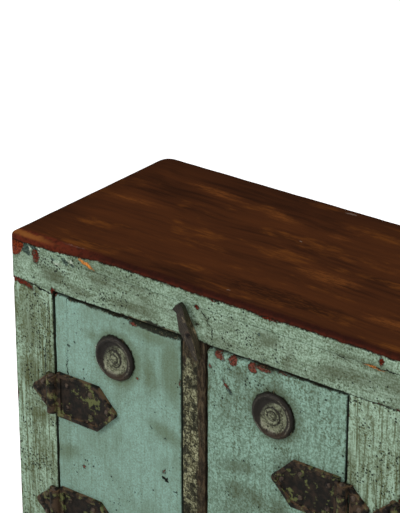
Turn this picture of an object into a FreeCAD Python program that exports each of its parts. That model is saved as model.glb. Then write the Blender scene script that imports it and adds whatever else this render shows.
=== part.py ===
import FreeCAD, Part
import math
import os

# Kang cabinet: a low, long cupboard with four flush doors, built with mortises and tenons.
# Lengths are in millimetres. +Z is up, the doors face -Y and +X is to the right of someone facing them.
# The origin is on the floor, under the middle of the whole cabinet's box.

# Overall
cabinet_depth = 320.0
cabinet_height = 550.0
foot_height = 40.0

# Widths along the front
post_width = 67.0
door_bay_width = 210.0
stile_width = 35.5
centre_post_width = 75.0

# Top board
top_board_thickness = 22.0
top_corner_radius = 8.0
top_arris_radius = 7.0

# Frame members
post_depth = 50.0
post_arris_radius = 3.0
foot_chamfer = 2.5
top_rail_height = 46.0
bottom_rail_height = 42.0
side_rail_thickness = 38.0
stile_depth = 30.0
centre_post_depth = 45.0
back_centre_post_depth = 30.0

# Tenons and their mortises
tenon_length = 25.0
joint_clearance = 0.2
tenon_section_shares = (0.3, 0.34)
rail_tenon_height_share = 0.6
corner_tenon_place_share = 0.64
middle_share = 0.5
peg_radius = 4.0
peg_depth = 31.0
peg_clearance = 0.05

# Panels in grooves
panel_thickness = 10.0
panel_recess = 10.0
panel_tongue = 7.0
panel_clearance = 0.3

# Floor of the cupboard
floor_thickness = 14.0
floor_lip = 8.0
floor_clearance = 0.4
floor_joint_share = 0.5
bearer_width = 44.0
bearer_height = 30.0

# Battens that key the top board to the rails
top_batten_width = 34.0
top_batten_height = 20.0
top_batten_key_height = 7.0
top_batten_neck_share = 0.7
top_batten_place_shares = (-0.25, 0.25)

# Doors
door_thickness = 20.0
door_hinge_gap = 2.5
door_free_gap = 2.5
door_top_gap = 2.5
door_bottom_gap = 2.0
door_floor_gap = 1.0
door_arris_radius = 0.8
edge_strip_width = 21.0
door_tongue_depth = 6.0
door_tongue_share = 0.3
door_joint_clearance = 0.15
door_batten_width = 36.0
door_batten_thickness = 16.0
door_batten_housing = 4.0
door_batten_end_inset = 15.0
door_batten_chamfer = 4.0
door_batten_place_shares = (0.16, 0.84)

# Turned boss in the middle of each door's upper part
boss_radius = 32.5
boss_height = 10.0
boss_drop = 63.5
boss_spigot_radius = 6.0
boss_spigot_length = 14.0
boss_clearance = 0.05
boss_rim_shares = ((1.0, 0.45), (0.965, 0.88), (0.88, 1.0))
boss_face_shares = (
    (0.8, 0.92),
    (0.66, 0.34),
    (0.44, 0.3),
    (0.37, 0.6),
    (0.24, 0.62),
    (0.17, 0.5),
    (0.1, 0.72),
    (0.0, 0.76),
)

# Forged strap hinges
hinge_half_height = 32.0
hinge_drop = 145.0
hinge_lift = 84.0
knuckle_radius = 7.0
knuckle_face_gap = 0.3
knuckle_side_gap = 0.4
knuckle_end_inset = 2.0
knuckle_share = 0.5
strap_edge_gap = 0.8
strap_plate = 3.5
strap_rim_height = 2.5
strap_rim_width = 6.0
post_strap_length = 34.5
post_strap_thickness = 6.5
post_strap_chamfer = 1.8
door_strap_length = 105.0
door_strap_flat_share = 0.72
strap_tip_depth = 5.0
strap_tip_half_height = 7.0
strap_shoulder_share = 0.84
pin_radius = 2.5
pin_clearance = 0.06
pin_head_radius = 4.5
pin_head_height = 3.0

# Hinge nails
nail_head_radius = 4.2
nail_head_height = 2.4
nail_shank_radius = 1.7
nail_length = 13.0
nail_clearance = 0.05
post_nail_shares = ((0.42, 0.4), (0.42, -0.4), (0.68, 0.0))
door_nail_shares = ((0.22, 0.5), (0.22, -0.5), (0.6, 0.5), (0.6, -0.5), (0.86, 0.0))

# Turn buttons that hold the doors
catch_pivot_rise = 10.5
catch_face_gap = 0.4
catch_lower_arm = 37.0
catch_upper_arm = 42.0
catch_half_width = 11.0
catch_thickness = 9.6
catch_tip_reach = 18.0
catch_tip_thickness = 8.0
catch_tilts = (-20.0, 17.0)
catch_pivot_shares = (0.45, 0.55)
catch_arm_shares = (-1.0, -0.5, 0.0, 0.25, 0.6, 1.0)
catch_width_shares = (0.62, 0.92, 1.0, 0.99, 0.94, 0.86)
catch_depth_shares = (0.42, 0.8, 1.0, 1.0, 1.0, 1.0)
catch_lift_shares = (0.0, 0.0, 0.0, 0.0, 0.34, 1.0)
catch_edge_share = 0.5
catch_nail_radius = 2.4
catch_nail_clearance = 0.06
catch_nail_depth = 30.0
catch_nail_head_radius = 4.6
catch_nail_head_height = 2.6
catch_nail_head_gap = 0.3

# Extra length of cutting tools past what they cut
overrun = 5.0

# Where things lie
cabinet_length = 2 * post_width + 4 * door_bay_width + 2 * stile_width + centre_post_width
left = -cabinet_length / 2
right = cabinet_length / 2
front = (catch_tip_reach - cabinet_depth) / 2
back = front + cabinet_depth
rail_top = cabinet_height - top_board_thickness
frame_top = rail_top - top_rail_height
frame_bottom = foot_height + bottom_rail_height
door_low = frame_bottom + door_bottom_gap
door_high = frame_top - door_top_gap
inner_front = front + post_depth
inner_back = back - post_depth
hinge_heights = (frame_top - hinge_drop, frame_bottom + hinge_lift)
knuckle_axis = -knuckle_radius - knuckle_face_gap
floor_top = frame_bottom + floor_lip
floor_under = floor_top - floor_thickness


class Block:
    """A box between two corners, with the tenons that can stand on its ends."""

    def __init__(self, low, high):
        self.low = list(low)
        self.high = list(high)

    def solid(self):
        sizes = [b - a for a, b in zip(self.low, self.high)]
        return Part.makeBox(*sizes, FreeCAD.Vector(*self.low))

    def grown(self, gap):
        return Block([v - gap for v in self.low], [v + gap for v in self.high])

    def tenon(self, axis, sign, length, shares, places=(middle_share, middle_share)):
        """A tenon on one end: its section and place are shares of the end face's two sides."""
        low, high = list(self.low), list(self.high)
        across = [i for i in range(3) if i != axis]
        for i, share, place in zip(across, shares, places):
            side = self.high[i] - self.low[i]
            middle = self.low[i] + side * place
            low[i], high[i] = middle - side * share / 2, middle + side * share / 2
        if sign > 0:
            low[axis], high[axis] = self.high[axis], self.high[axis] + length
        else:
            low[axis], high[axis] = self.low[axis] - length, self.low[axis]
        return Block(low, high)


def rod(radius, length, start, direction):
    """A round bar that runs from a point in a direction."""
    return Part.makeCylinder(radius, length, FreeCAD.Vector(*start), FreeCAD.Vector(*direction))


def joined(shape, others):
    """The shape with others fused to it, as one clean solid."""
    return shape.fuse(others).removeSplitter() if others else shape


def write(name, shape):
    """Save one sub-part."""
    shape.exportStep("parts/" + name + ".step")


def upright_edges(shape, places):
    """The edges that run straight up at any of these places in plan."""
    found = []
    for edge in shape.Edges:
        a, b = edge.Vertexes[0].Point, edge.Vertexes[-1].Point
        if math.hypot(a.x - b.x, a.y - b.y) > edge.Length / 2:
            continue
        if any(math.hypot(a.x - x, a.y - y) < overrun / 100 for x, y in places):
            found.append(edge)
    return found


def bays():
    """Each door bay's left side, right side and hinge side: -1 for the left and 1 for the right."""
    found = []
    x = left + post_width
    for hinge_side, gap in ((-1, stile_width), (1, centre_post_width), (-1, stile_width), (1, 0)):
        found.append((x, x + door_bay_width, hinge_side))
        x += door_bay_width + gap
    return found


def frame_members():
    """The wooden members of the frame as blocks, without their tenons."""
    bay = bays()
    members = {}
    for side, x0, x1 in (("left", left, left + post_width), ("right", right - post_width, right)):
        members["front_" + side + "_post"] = Block((x0, front, 0), (x1, inner_front, frame_top))
        members["back_" + side + "_post"] = Block((x0, inner_back, 0), (x1, back, frame_top))
    for end, y0, y1 in (("front", front, inner_front), ("back", inner_back, back)):
        members[end + "_top_rail"] = Block((left, y0, frame_top), (right, y1, rail_top))
        members[end + "_bottom_rail"] = Block(
            (left + post_width, y0, foot_height), (right - post_width, y1, frame_bottom)
        )
    for side, x0, x1 in (
        ("left", left, left + side_rail_thickness),
        ("right", right - side_rail_thickness, right),
    ):
        members[side + "_top_rail"] = Block((x0, inner_front, frame_top), (x1, inner_back, rail_top))
        members[side + "_bottom_rail"] = Block(
            (x0, inner_front, foot_height), (x1, inner_back, frame_bottom)
        )
    for side, x0, x1 in (("left", bay[0][1], bay[1][0]), ("right", bay[2][1], bay[3][0])):
        members[side + "_door_stile"] = Block(
            (x0, front, frame_bottom), (x1, front + stile_depth, frame_top)
        )
    members["front_centre_post"] = Block(
        (bay[1][1], front, frame_bottom), (bay[2][0], front + centre_post_depth, frame_top)
    )
    members["back_centre_post"] = Block(
        (bay[1][1], back - back_centre_post_depth, frame_bottom), (bay[2][0], back, frame_top)
    )
    for side, (x0, x1, _) in (("left", bay[1]), ("right", bay[2])):
        middle = (x0 + x1) / 2
        members[side + "_floor_bearer"] = Block(
            (middle - bearer_width / 2, inner_front, floor_under - bearer_height),
            (middle + bearer_width / 2, inner_back, floor_under),
        )
    return members


def frame_tenons():
    """Every tenon of the frame: its member, axis, sign, section shares, places and what it enters."""
    thin, thick = tenon_section_shares
    rail_shares = (thick, rail_tenon_height_share)
    found = []
    for end in ("front", "back"):
        for side, place in (("left", corner_tenon_place_share), ("right", 1 - corner_tenon_place_share)):
            post = end + "_" + side + "_post"
            found.append((post, 2, 1, (thin, thick), (place, middle_share), end + "_top_rail"))
            sign = -1 if side == "left" else 1
            rail = end + "_bottom_rail"
            found.append((rail, 0, sign, rail_shares, (middle_share, middle_share), post))
        for sign, rail in ((1, end + "_top_rail"), (-1, end + "_bottom_rail")):
            centre = end + "_centre_post"
            found.append((centre, 2, sign, (thick, thick), (middle_share, middle_share), rail))
    for side in ("left", "right"):
        for sign, end in ((-1, "front"), (1, "back")):
            post = end + "_" + side + "_post"
            centred = (middle_share, middle_share)
            found.append((side + "_top_rail", 1, sign, rail_shares, centred, end + "_top_rail"))
            found.append((side + "_bottom_rail", 1, sign, rail_shares, centred, post))
        for sign, rail in ((1, "front_top_rail"), (-1, "front_bottom_rail")):
            stile = side + "_door_stile"
            found.append((stile, 2, sign, (thick, thick), (middle_share, middle_share), rail))
        for sign, end in ((-1, "front"), (1, "back")):
            bearer = side + "_floor_bearer"
            rail = end + "_bottom_rail"
            found.append((bearer, 1, sign, (thick, thick), (middle_share, middle_share), rail))
    return found


def panel_places():
    """Each panel as its opening's block and the two axes along which its tongues run."""
    bay = bays()
    places = {}
    for side, x0 in (
        ("left", left + panel_recess),
        ("right", right - panel_recess - panel_thickness),
    ):
        places[side + "_side_panel"] = (
            Block((x0, inner_front, frame_bottom), (x0 + panel_thickness, inner_back, frame_top)),
            (1, 2),
        )
    y0 = back - panel_recess - panel_thickness
    for side, x0, x1 in (
        ("left", left + post_width, bay[1][1]),
        ("right", bay[2][0], right - post_width),
    ):
        places[side + "_back_panel"] = (
            Block((x0, y0, frame_bottom), (x1, y0 + panel_thickness, frame_top)),
            (0, 2),
        )
    return places


def widened(block, axis, length):
    """The block made longer at both ends of one axis."""
    low, high = list(block.low), list(block.high)
    low[axis] -= length
    high[axis] += length
    return Block(low, high)


def panel_solids():
    """The panels, each with a tongue on its four sides and its corners notched."""
    solids = {}
    for name, (opening, axes) in panel_places().items():
        arms = [widened(opening, axis, panel_tongue).solid() for axis in axes]
        solids[name] = joined(arms[0], arms[1:])
    return solids


def panel_grooves():
    """The cuts that take the panels' tongues."""
    cuts = []
    for opening, axes in panel_places().values():
        for axis in axes:
            cuts.append(widened(opening, axis, panel_tongue).grown(panel_clearance).solid())
    return cuts


def floor_block():
    """The whole floor's block, before it is divided and fitted round the posts."""
    side_inset = panel_recess + panel_thickness + floor_clearance
    return Block(
        (left + side_inset, front + door_thickness + door_floor_gap, floor_under),
        (right - side_inset, back - panel_recess - panel_thickness - floor_clearance, floor_top),
    )


def floor_boards(members):
    """The front and back floor boards, notched round what stands through them."""
    whole = floor_block()
    joint = whole.low[1] + (whole.high[1] - whole.low[1]) * floor_joint_share
    standing = [
        widened(members[name], 2, overrun).grown(floor_clearance).solid()
        for name in members
        if name.endswith("post") or name.endswith("stile")
    ]
    boards = {}
    for name, y0, y1 in (
        ("front_floor_board", whole.low[1], joint - floor_clearance / 2),
        ("back_floor_board", joint + floor_clearance / 2, whole.high[1]),
    ):
        board = Block((whole.low[0], y0, whole.low[2]), (whole.high[0], y1, whole.high[2]))
        boards[name] = board.solid().cut(standing)
    return boards


def floor_rebate():
    """The cut in the bottom rails that the floor boards lie in."""
    whole = floor_block()
    low, high = list(whole.low), list(whole.high)
    for i in (0, 1):
        low[i] -= floor_clearance
        high[i] += floor_clearance
    return Block(low, high).solid()


def top_batten_blocks():
    """The part of each top batten that lies under the board, between the front and back rails."""
    blocks = []
    for share in top_batten_place_shares:
        x = cabinet_length * share
        blocks.append(
            Block(
                (x - top_batten_width / 2, inner_front, rail_top - top_batten_height),
                (x + top_batten_width / 2, inner_back, rail_top),
            )
        )
    return blocks


def top_batten_tenons():
    """The tenons at both ends of each top batten."""
    shares = (tenon_section_shares[1], tenon_section_shares[1])
    return [
        block.tenon(1, sign, tenon_length, shares)
        for block in top_batten_blocks()
        for sign in (-1, 1)
    ]


def top_batten_key(block, gap):
    """The dovetail along a batten's top, which slides into the board from its back edge."""
    x = (block.low[0] + block.high[0]) / 2
    wide = top_batten_width / 2
    narrow = wide * top_batten_neck_share
    z0, z1 = rail_top - gap, rail_top + top_batten_key_height + gap
    y0 = block.low[1] - gap
    corners = [
        (x - narrow - gap, y0, z0),
        (x + narrow + gap, y0, z0),
        (x + wide + gap, y0, z1),
        (x - wide - gap, y0, z1),
    ]
    wire = Part.makePolygon([FreeCAD.Vector(*c) for c in corners + corners[:1]])
    past = overrun if gap else 0
    return Part.Face(wire).extrude(FreeCAD.Vector(0, back + past - y0, 0))


def top_battens():
    """Both top battens with their keys and tenons."""
    solids = []
    tenons = top_batten_tenons()
    for number, block in enumerate(top_batten_blocks()):
        own = [t.solid() for t in tenons[2 * number : 2 * number + 2]]
        solids.append(joined(block.solid(), [top_batten_key(block, 0)] + own))
    return Part.makeCompound(solids)


def top_board():
    """The top board, with rounded corners and arris and the grooves for the battens' keys."""
    board = Block((left, front, rail_top), (right, back, cabinet_height)).solid()
    corners = [(x, y) for x in (left, right) for y in (front, back)]
    board = board.makeFillet(top_corner_radius, upright_edges(board, corners))
    rim = [
        edge
        for edge in board.Edges
        if min(v.Z for v in edge.Vertexes) > cabinet_height - top_board_thickness / 2
    ]
    board = board.makeFillet(top_arris_radius, rim)
    return board.cut([top_batten_key(b, joint_clearance) for b in top_batten_blocks()])


def peg_places():
    """Where each peg starts on an end face of the cabinet, and the way it runs."""
    places = []
    inside = tenon_length / 2
    heights = ((frame_top + rail_top) / 2, (foot_height + frame_bottom) / 2)
    for x, way in ((left, 1), (right, -1)):
        for y in (inner_front - inside, inner_back + inside):
            for z in heights:
                places.append(((x, y, z), (way, 0, 0)))
    return places


def pegs():
    """The pegs that pin the side rails' tenons, as one group."""
    return Part.makeCompound([rod(peg_radius, peg_depth, s, d) for s, d in peg_places()])


def peg_holes():
    """The holes for the pegs."""
    radius = peg_radius + peg_clearance
    holes = []
    for start, way in peg_places():
        outside = (start[0] - way[0] * overrun, start[1], start[2])
        holes.append(rod(radius, peg_depth + overrun + peg_clearance, outside, way))
    return holes


def line(a, b):
    """A straight edge between two points."""
    return Part.LineSegment(FreeCAD.Vector(*a), FreeCAD.Vector(*b)).toShape()


def arc(a, through, b):
    """A round edge through three points."""
    return Part.Arc(FreeCAD.Vector(*a), FreeCAD.Vector(*through), FreeCAD.Vector(*b)).toShape()


def turned(edges, place):
    """A solid turned about an axis along Y, from a profile that starts and ends on the axis."""
    closing = line(edges[-1].Vertexes[-1].Point, edges[0].Vertexes[0].Point)
    face = Part.Face(Part.Wire(edges + [closing]))
    shape = face.revolve(FreeCAD.Vector(0, 0, 0), FreeCAD.Vector(0, 1, 0), 360)
    shape.translate(FreeCAD.Vector(*place))
    return shape


def dome(radius, height, place):
    """A domed head that bulges towards -Y from its flat underside at the place."""
    ball = (radius * radius + height * height) / (2 * height)
    half_angle = math.asin(radius / ball) / 2
    middle = (ball * math.sin(half_angle), ball * (1 - math.cos(half_angle)) - height, 0)
    edges = [
        line((0, 0, 0), (radius, 0, 0)),
        arc((radius, 0, 0), middle, (0, -height, 0)),
    ]
    return turned(edges, place)


def hinge_nail(start):
    """A nail driven along +Y through a hinge strap, its head's underside at the start."""
    head = dome(nail_head_radius, nail_head_height, start)
    return joined(head, [rod(nail_shank_radius, nail_length, start, (0, 1, 0))])


def strap_outline(points, tip, inset):
    """The closed outline of one strap, made smaller by an inset, from its upper edge and its tip.

    The upper edge runs from the knuckle to the tip's start. The lower edge mirrors it.
    """
    upper = [(x, 0, z) for x, z in points]
    lower = [(x, 0, -z) for x, z in reversed(points)]
    edges = [line(a, b) for a, b in zip(upper, upper[1:])]
    edges.append(arc(upper[-1], (tip, 0, 0), lower[0]))
    edges += [line(a, b) for a, b in zip(lower, lower[1:])]
    edges.append(line(lower[-1], upper[0]))
    wire = Part.Wire(edges)
    return wire.makeOffset2D(-inset) if inset else wire


def strap(points, tip):
    """A strap lying on the plane y = 0 and bulging to -Y: a plate with a raised rim round it."""
    height = strap_plate + strap_rim_height
    body = Part.Face(strap_outline(points, tip, 0)).extrude(FreeCAD.Vector(0, -height, 0))
    field = Part.Face(strap_outline(points, tip, strap_rim_width))
    pocket = field.extrude(FreeCAD.Vector(0, -height, 0))
    pocket.translate(FreeCAD.Vector(0, -strap_plate, 0))
    return body.cut(pocket)


def barrel(z0, z1, reach):
    """A knuckle between two heights, with the tab that joins it to a strap at x = reach."""
    knuckle = rod(knuckle_radius, z1 - z0, (0, knuckle_axis, z0), (0, 0, 1))
    start = math.copysign(strap_edge_gap, reach)
    x0, x1 = min(start, reach), max(start, reach)
    height = strap_plate + strap_rim_height
    tab = Block((x0, -height, z0), (x1, 0, z1)).solid()
    return joined(knuckle, [tab])


def knuckle_limits():
    """The heights, from the hinge's middle, at which the middle knuckle and the barrel end."""
    end = hinge_half_height - knuckle_end_inset
    return end * knuckle_share, end


def pin_bore():
    """The hole through the barrel for the hinge's pin."""
    radius = pin_radius + pin_clearance
    length = hinge_half_height + overrun
    return rod(radius, 2 * length, (0, knuckle_axis, -length), (0, 0, 1))


def post_nail_places(side):
    """Where the nails go on a post strap's leaf."""
    half, y = hinge_half_height, -post_strap_thickness
    return [(-side * post_strap_length * u, y, half * v) for u, v in post_nail_shares]


def door_nail_places(side):
    """Where the nails go in a door strap's field."""
    half = hinge_half_height
    return [(side * door_strap_length * u, -strap_plate, half * v) for u, v in door_nail_shares]


def nail_bores(places):
    """The holes for a strap's nails."""
    radius = nail_shank_radius + nail_clearance
    return [rod(radius, nail_length + nail_clearance, place, (0, 1, 0)) for place in places]


def post_strap(side):
    """The strap on the frame: a thick leaf on the far side of the axis from the door.

    The side is 1 where the door lies towards +X of the axis, and -1 where it lies towards -X.
    """
    near = knuckle_radius + knuckle_side_gap
    tip_start = post_strap_length - strap_tip_depth
    shoulder = hinge_half_height * strap_shoulder_share
    points = [(-side * near, shoulder), (-side * tip_start, strap_tip_half_height)]
    outline = strap_outline(points, -side * post_strap_length, 0)
    shape = Part.Face(outline).extrude(FreeCAD.Vector(0, -post_strap_thickness, 0))
    rim = [e for e in shape.Edges if max(v.Y for v in e.Vertexes) < -post_strap_thickness / 2]
    shape = shape.makeChamfer(post_strap_chamfer, rim)
    inner, end = knuckle_limits()
    low = inner + knuckle_side_gap / 2
    high = min(end, shoulder)
    reach = -side * (near + strap_rim_width / 2)
    tabs = [barrel(low, high, reach), barrel(-high, -low, reach)]
    cuts = [pin_bore()] + nail_bores(post_nail_places(side))
    return joined(shape, tabs).cut(cuts)


def door_strap(side):
    """The strap on the door, with the middle knuckle."""
    near = knuckle_radius + knuckle_side_gap
    flat = door_strap_length * door_strap_flat_share
    tip_start = door_strap_length - strap_tip_depth
    points = [
        (near, hinge_half_height),
        (flat, hinge_half_height),
        (tip_start, strap_tip_half_height),
    ]
    shape = strap([(side * x, z) for x, z in points], side * door_strap_length)
    inner, _ = knuckle_limits()
    low = knuckle_side_gap / 2 - inner
    tab = barrel(low, -low, side * (near + strap_rim_width / 2))
    cuts = [pin_bore()] + nail_bores(door_nail_places(side))
    return joined(shape, [tab]).cut(cuts)


def hinge_pin():
    """The pin of one hinge, with a domed head at both ends of the barrel."""
    shoulder = hinge_half_height * strap_shoulder_share
    end = min(knuckle_limits()[1], shoulder)
    heads = []
    for way in (1, -1):
        head = dome(pin_head_radius, pin_head_height, (0, 0, 0))
        head.rotate(FreeCAD.Vector(0, 0, 0), FreeCAD.Vector(1, 0, 0), -90 * way)
        head.translate(FreeCAD.Vector(0, knuckle_axis, way * end))
        heads.append(head)
    return joined(rod(pin_radius, 2 * end, (0, knuckle_axis, -end), (0, 0, 1)), heads)


def placed(shape, x, z):
    """A copy of a hinge part moved to its axis and height on the front face."""
    copy = shape.copy()
    copy.translate(FreeCAD.Vector(x, front, z))
    return copy


def hinges():
    """Each door's hinge axis and the side of it on which the door lies."""
    return [(x0, 1) if hinge_side < 0 else (x1, -1) for x0, x1, hinge_side in bays()]


def post_nails():
    """The nails of all the post straps, as one group."""
    nails = []
    for x, side in hinges():
        for z in hinge_heights:
            for place in post_nail_places(side):
                nails.append(placed(hinge_nail(place), x, z))
    return nails


def post_nail_bores():
    """The holes in the posts for the post straps' nails."""
    bores = []
    for x, side in hinges():
        for z in hinge_heights:
            for bore in nail_bores(post_nail_places(side)):
                bores.append(placed(bore, x, z))
    return bores


def door_span(x0, x1, hinge_side):
    """A door's left and right edges inside its bay."""
    if hinge_side < 0:
        return x0 + door_hinge_gap, x1 - door_free_gap
    return x0 + door_free_gap, x1 - door_hinge_gap


def door_boards(x0, x1, hinge_side):
    """A door's wide board and the narrow strip along its hinged edge, tongued together."""
    a, b = door_span(x0, x1, hinge_side)
    joint = a + edge_strip_width if hinge_side < 0 else b - edge_strip_width
    y0, y1 = front, front + door_thickness
    parts = [Block((a, y0, door_low), (joint, y1, door_high))]
    parts.append(Block((joint, y0, door_low), (b, y1, door_high)))
    strip, board = parts if hinge_side < 0 else reversed(parts)
    tongue_shares = (door_tongue_share, 1)
    tongue = board.tenon(0, hinge_side, door_tongue_depth, tongue_shares)
    groove = tongue.grown(door_joint_clearance).solid()
    corners = [(x, front) for x in (a, b)]
    strip_solid = strip.solid()
    strip_solid = strip_solid.makeFillet(door_arris_radius, upright_edges(strip_solid, corners))
    board_solid = board.solid()
    board_solid = board_solid.makeFillet(door_arris_radius, upright_edges(board_solid, corners))
    return joined(board_solid, [tongue.solid()]), strip_solid.cut(groove)


def door_batten_blocks(x0, x1, hinge_side):
    """The two battens housed across a door's back."""
    a, b = door_span(x0, x1, hinge_side)
    y0 = front + door_thickness - door_batten_housing
    blocks = []
    for share in door_batten_place_shares:
        z = door_low + (door_high - door_low) * share
        blocks.append(
            Block(
                (a + door_batten_end_inset, y0, z - door_batten_width / 2),
                (b - door_batten_end_inset, y0 + door_batten_thickness, z + door_batten_width / 2),
            )
        )
    return blocks


def door_battens(blocks):
    """A door's battens, with their back arrises planed off."""
    solids = []
    for block in blocks:
        solid = block.solid()
        rim = [e for e in solid.Edges if all(v.Y > block.high[1] - overrun / 100 for v in e.Vertexes)]
        solids.append(solid.makeChamfer(door_batten_chamfer, rim))
    return Part.makeCompound(solids)


def boss(place):
    """The turned boss: a raised rim, a dished ring and a low button in the middle."""
    rim = [(boss_radius * r, -boss_height * h, 0) for r, h in boss_rim_shares]
    face = [(boss_radius * r, -boss_height * h, 0) for r, h in boss_face_shares]
    foot = [
        (0, boss_spigot_length, 0),
        (boss_spigot_radius, boss_spigot_length, 0),
        (boss_spigot_radius, 0, 0),
        (boss_radius, 0, 0),
        rim[0],
    ]
    edges = [line(a, b) for a, b in zip(foot, foot[1:])]
    edges.append(arc(*rim))
    edges += [line(a, b) for a, b in zip(rim[-1:] + face, face)]
    return turned(edges, place)


def boss_place(x0, x1, hinge_side):
    """The middle of a door's boss on the front face."""
    a, b = door_span(x0, x1, hinge_side)
    return (a + b) / 2, front, frame_top - boss_drop


def boss_socket(place):
    """The hole in the door for the boss's spigot."""
    depth = boss_spigot_length + boss_clearance
    return rod(boss_spigot_radius + boss_clearance, depth, place, (0, 1, 0))


def door_nail_set(axis_x, side):
    """The nails of both straps on one door."""
    places = door_nail_places(side)
    return [placed(hinge_nail(p), axis_x, z) for z in hinge_heights for p in places]


def door_nail_bores(axis_x, side):
    """The holes in a door for its straps' nails."""
    places = door_nail_places(side)
    return [placed(b, axis_x, z) for z in hinge_heights for b in nail_bores(places)]


def write_door(number, bay, hinge):
    """Save one door's boards, battens, boss, straps and nails."""
    name = "door_" + str(number) + "_"
    board, strip = door_boards(*bay)
    blocks = door_batten_blocks(*bay)
    housings = [block.solid() for block in blocks]
    place = boss_place(*bay)
    cuts = housings + [boss_socket(place)] + door_nail_bores(*hinge)
    write(name + "board", board.cut(cuts))
    write(name + "edge_strip", strip.cut(cuts))
    write(name + "battens", door_battens(blocks))
    write(name + "boss", boss(place))
    axis_x, side = hinge
    straps = [placed(door_strap(side), axis_x, z) for z in hinge_heights]
    write(name + "hinge_straps", Part.makeCompound(straps))
    write(name + "hinge_nails", Part.makeCompound(door_nail_set(*hinge)))


def catch_section(arm, width, depth, lift):
    """One section across a turn button: a flat back, low edges and a ridge along the middle."""
    z = arm * (catch_upper_arm if arm > 0 else catch_lower_arm)
    half = catch_half_width * width
    under = -catch_face_gap - (catch_tip_reach - catch_tip_thickness - catch_face_gap) * lift
    thick = catch_thickness + (catch_tip_thickness - catch_thickness) * lift
    ridge = under - (thick - catch_face_gap * (1 - lift)) * depth
    edge = under + (ridge - under) * catch_edge_share
    corners = [(-half, under, z), (half, under, z), (half, edge, z), (0, ridge, z), (-half, edge, z)]
    return Part.makePolygon([FreeCAD.Vector(*c) for c in corners + corners[:1]])


def catch_shape():
    """A turn button, upright, with its pivot at the origin and its upper end lifted."""
    rows = zip(catch_arm_shares, catch_width_shares, catch_depth_shares, catch_lift_shares)
    bar = Part.makeLoft([catch_section(*row) for row in rows], True, True)
    radius = catch_nail_radius + catch_nail_clearance
    return bar.cut(rod(radius, 2 * catch_tip_reach, (0, -catch_tip_reach, 0), (0, 1, 0)))


def catch_pivots():
    """The middle of each turn button's nail on the front face."""
    bay = bays()
    z = frame_top + catch_pivot_rise
    starts = (bay[0][1], bay[2][1])
    return [(x + stile_width * share, front, z) for x, share in zip(starts, catch_pivot_shares)]


def catch(place, tilt):
    """A turn button at its pivot, its upper end leaning by the tilt."""
    shape = catch_shape()
    shape.rotate(FreeCAD.Vector(0, 0, 0), FreeCAD.Vector(0, 1, 0), tilt)
    shape.translate(FreeCAD.Vector(*place))
    return shape


def catch_nail(place):
    """The nail that a turn button turns on, driven into the top rail."""
    x, y, z = place
    head_y = y - catch_thickness - catch_nail_head_gap
    head = dome(catch_nail_head_radius, catch_nail_head_height, (x, head_y, z))
    length = y - head_y + catch_nail_depth
    return joined(head, [rod(catch_nail_radius, length, (x, head_y, z), (0, 1, 0))])


def catch_nail_bores():
    """The holes in the top rail and the door stiles' tenons for the turn buttons' nails."""
    radius = catch_nail_radius + catch_nail_clearance
    depth = catch_nail_depth + catch_nail_clearance
    return [rod(radius, depth, p, (0, 1, 0)) for p in catch_pivots()]


def write_frame():
    """Save the frame's members, cut for one another, the panels, the floor, the pegs and nails."""
    members = frame_members()
    added = {name: [] for name in members}
    cuts = {name: [] for name in members}
    for male, axis, sign, shares, places, female in frame_tenons():
        tenon = members[male].tenon(axis, sign, tenon_length, shares, places)
        added[male].append(tenon.solid())
        cuts[female].append(tenon.grown(joint_clearance).solid())
    battens = top_batten_tenons()
    for name in ("front_top_rail", "back_top_rail"):
        cuts[name] += [t.grown(joint_clearance).solid() for t in battens]
    shared = panel_grooves() + [floor_rebate()] + peg_holes()
    fixings = post_nail_bores() + catch_nail_bores()
    for name, block in members.items():
        shape = block.solid()
        if name.endswith("post") and not name.endswith("centre_post"):
            shape = rounded_post(shape, block)
        own = cuts[name] if name.endswith("bearer") else shared + cuts[name]
        if name.startswith("front") or name.endswith("stile"):
            own = own + fixings
        write(name, joined(shape, added[name]).cut(own))
    for name, shape in panel_solids().items():
        write(name, shape)
    for name, shape in floor_boards(members).items():
        write(name, shape)


def rounded_post(shape, block):
    """A corner post with its outer arris rounded and its foot chamfered."""
    x = block.low[0] if block.low[0] < 0 else block.high[0]
    y = block.low[1] if block.low[1] < (front + back) / 2 else block.high[1]
    shape = shape.makeFillet(post_arris_radius, upright_edges(shape, [(x, y)]))
    foot = [e for e in shape.Edges if max(v.Z for v in e.Vertexes) < foot_chamfer]
    return shape.makeChamfer(foot_chamfer, foot)


def write_fittings():
    """Save the hinges' fixed parts, the turn buttons and all the nails in the frame."""
    for number, (x, side) in enumerate(hinges(), 1):
        straps = [placed(post_strap(side), x, z) for z in hinge_heights]
        write("post_hinge_straps_" + str(number), Part.makeCompound(straps))
    pins = [placed(hinge_pin(), x, z) for x, side in hinges() for z in hinge_heights]
    write("hinge_pins", Part.makeCompound(pins))
    write("post_hinge_nails", Part.makeCompound(post_nails()))
    write("catch_nails", Part.makeCompound([catch_nail(p) for p in catch_pivots()]))
    for side, place, tilt in zip(("left", "right"), catch_pivots(), catch_tilts):
        write(side + "_catch", catch(place, tilt))


def main():
    """Save every sub-part of the cabinet."""
    os.makedirs("parts", exist_ok=True)
    write("top_board", top_board())
    write("top_battens", top_battens())
    write("joint_pegs", pegs())
    write_frame()
    write_fittings()
    for number, (bay, hinge) in enumerate(zip(bays(), hinges()), 1):
        write_door(number, bay, hinge)


main()
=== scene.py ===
"""Dresses a kang cabinet: worn green paint, stained top, turned bosses, wooden catches, forged hinges."""

import logging
import math
import random
from collections.abc import Callable, Iterable, Iterator, Sequence
from contextlib import contextmanager
from dataclasses import dataclass, replace
from enum import Enum
from functools import cache
from itertools import pairwise, product
from typing import NamedTuple

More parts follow.
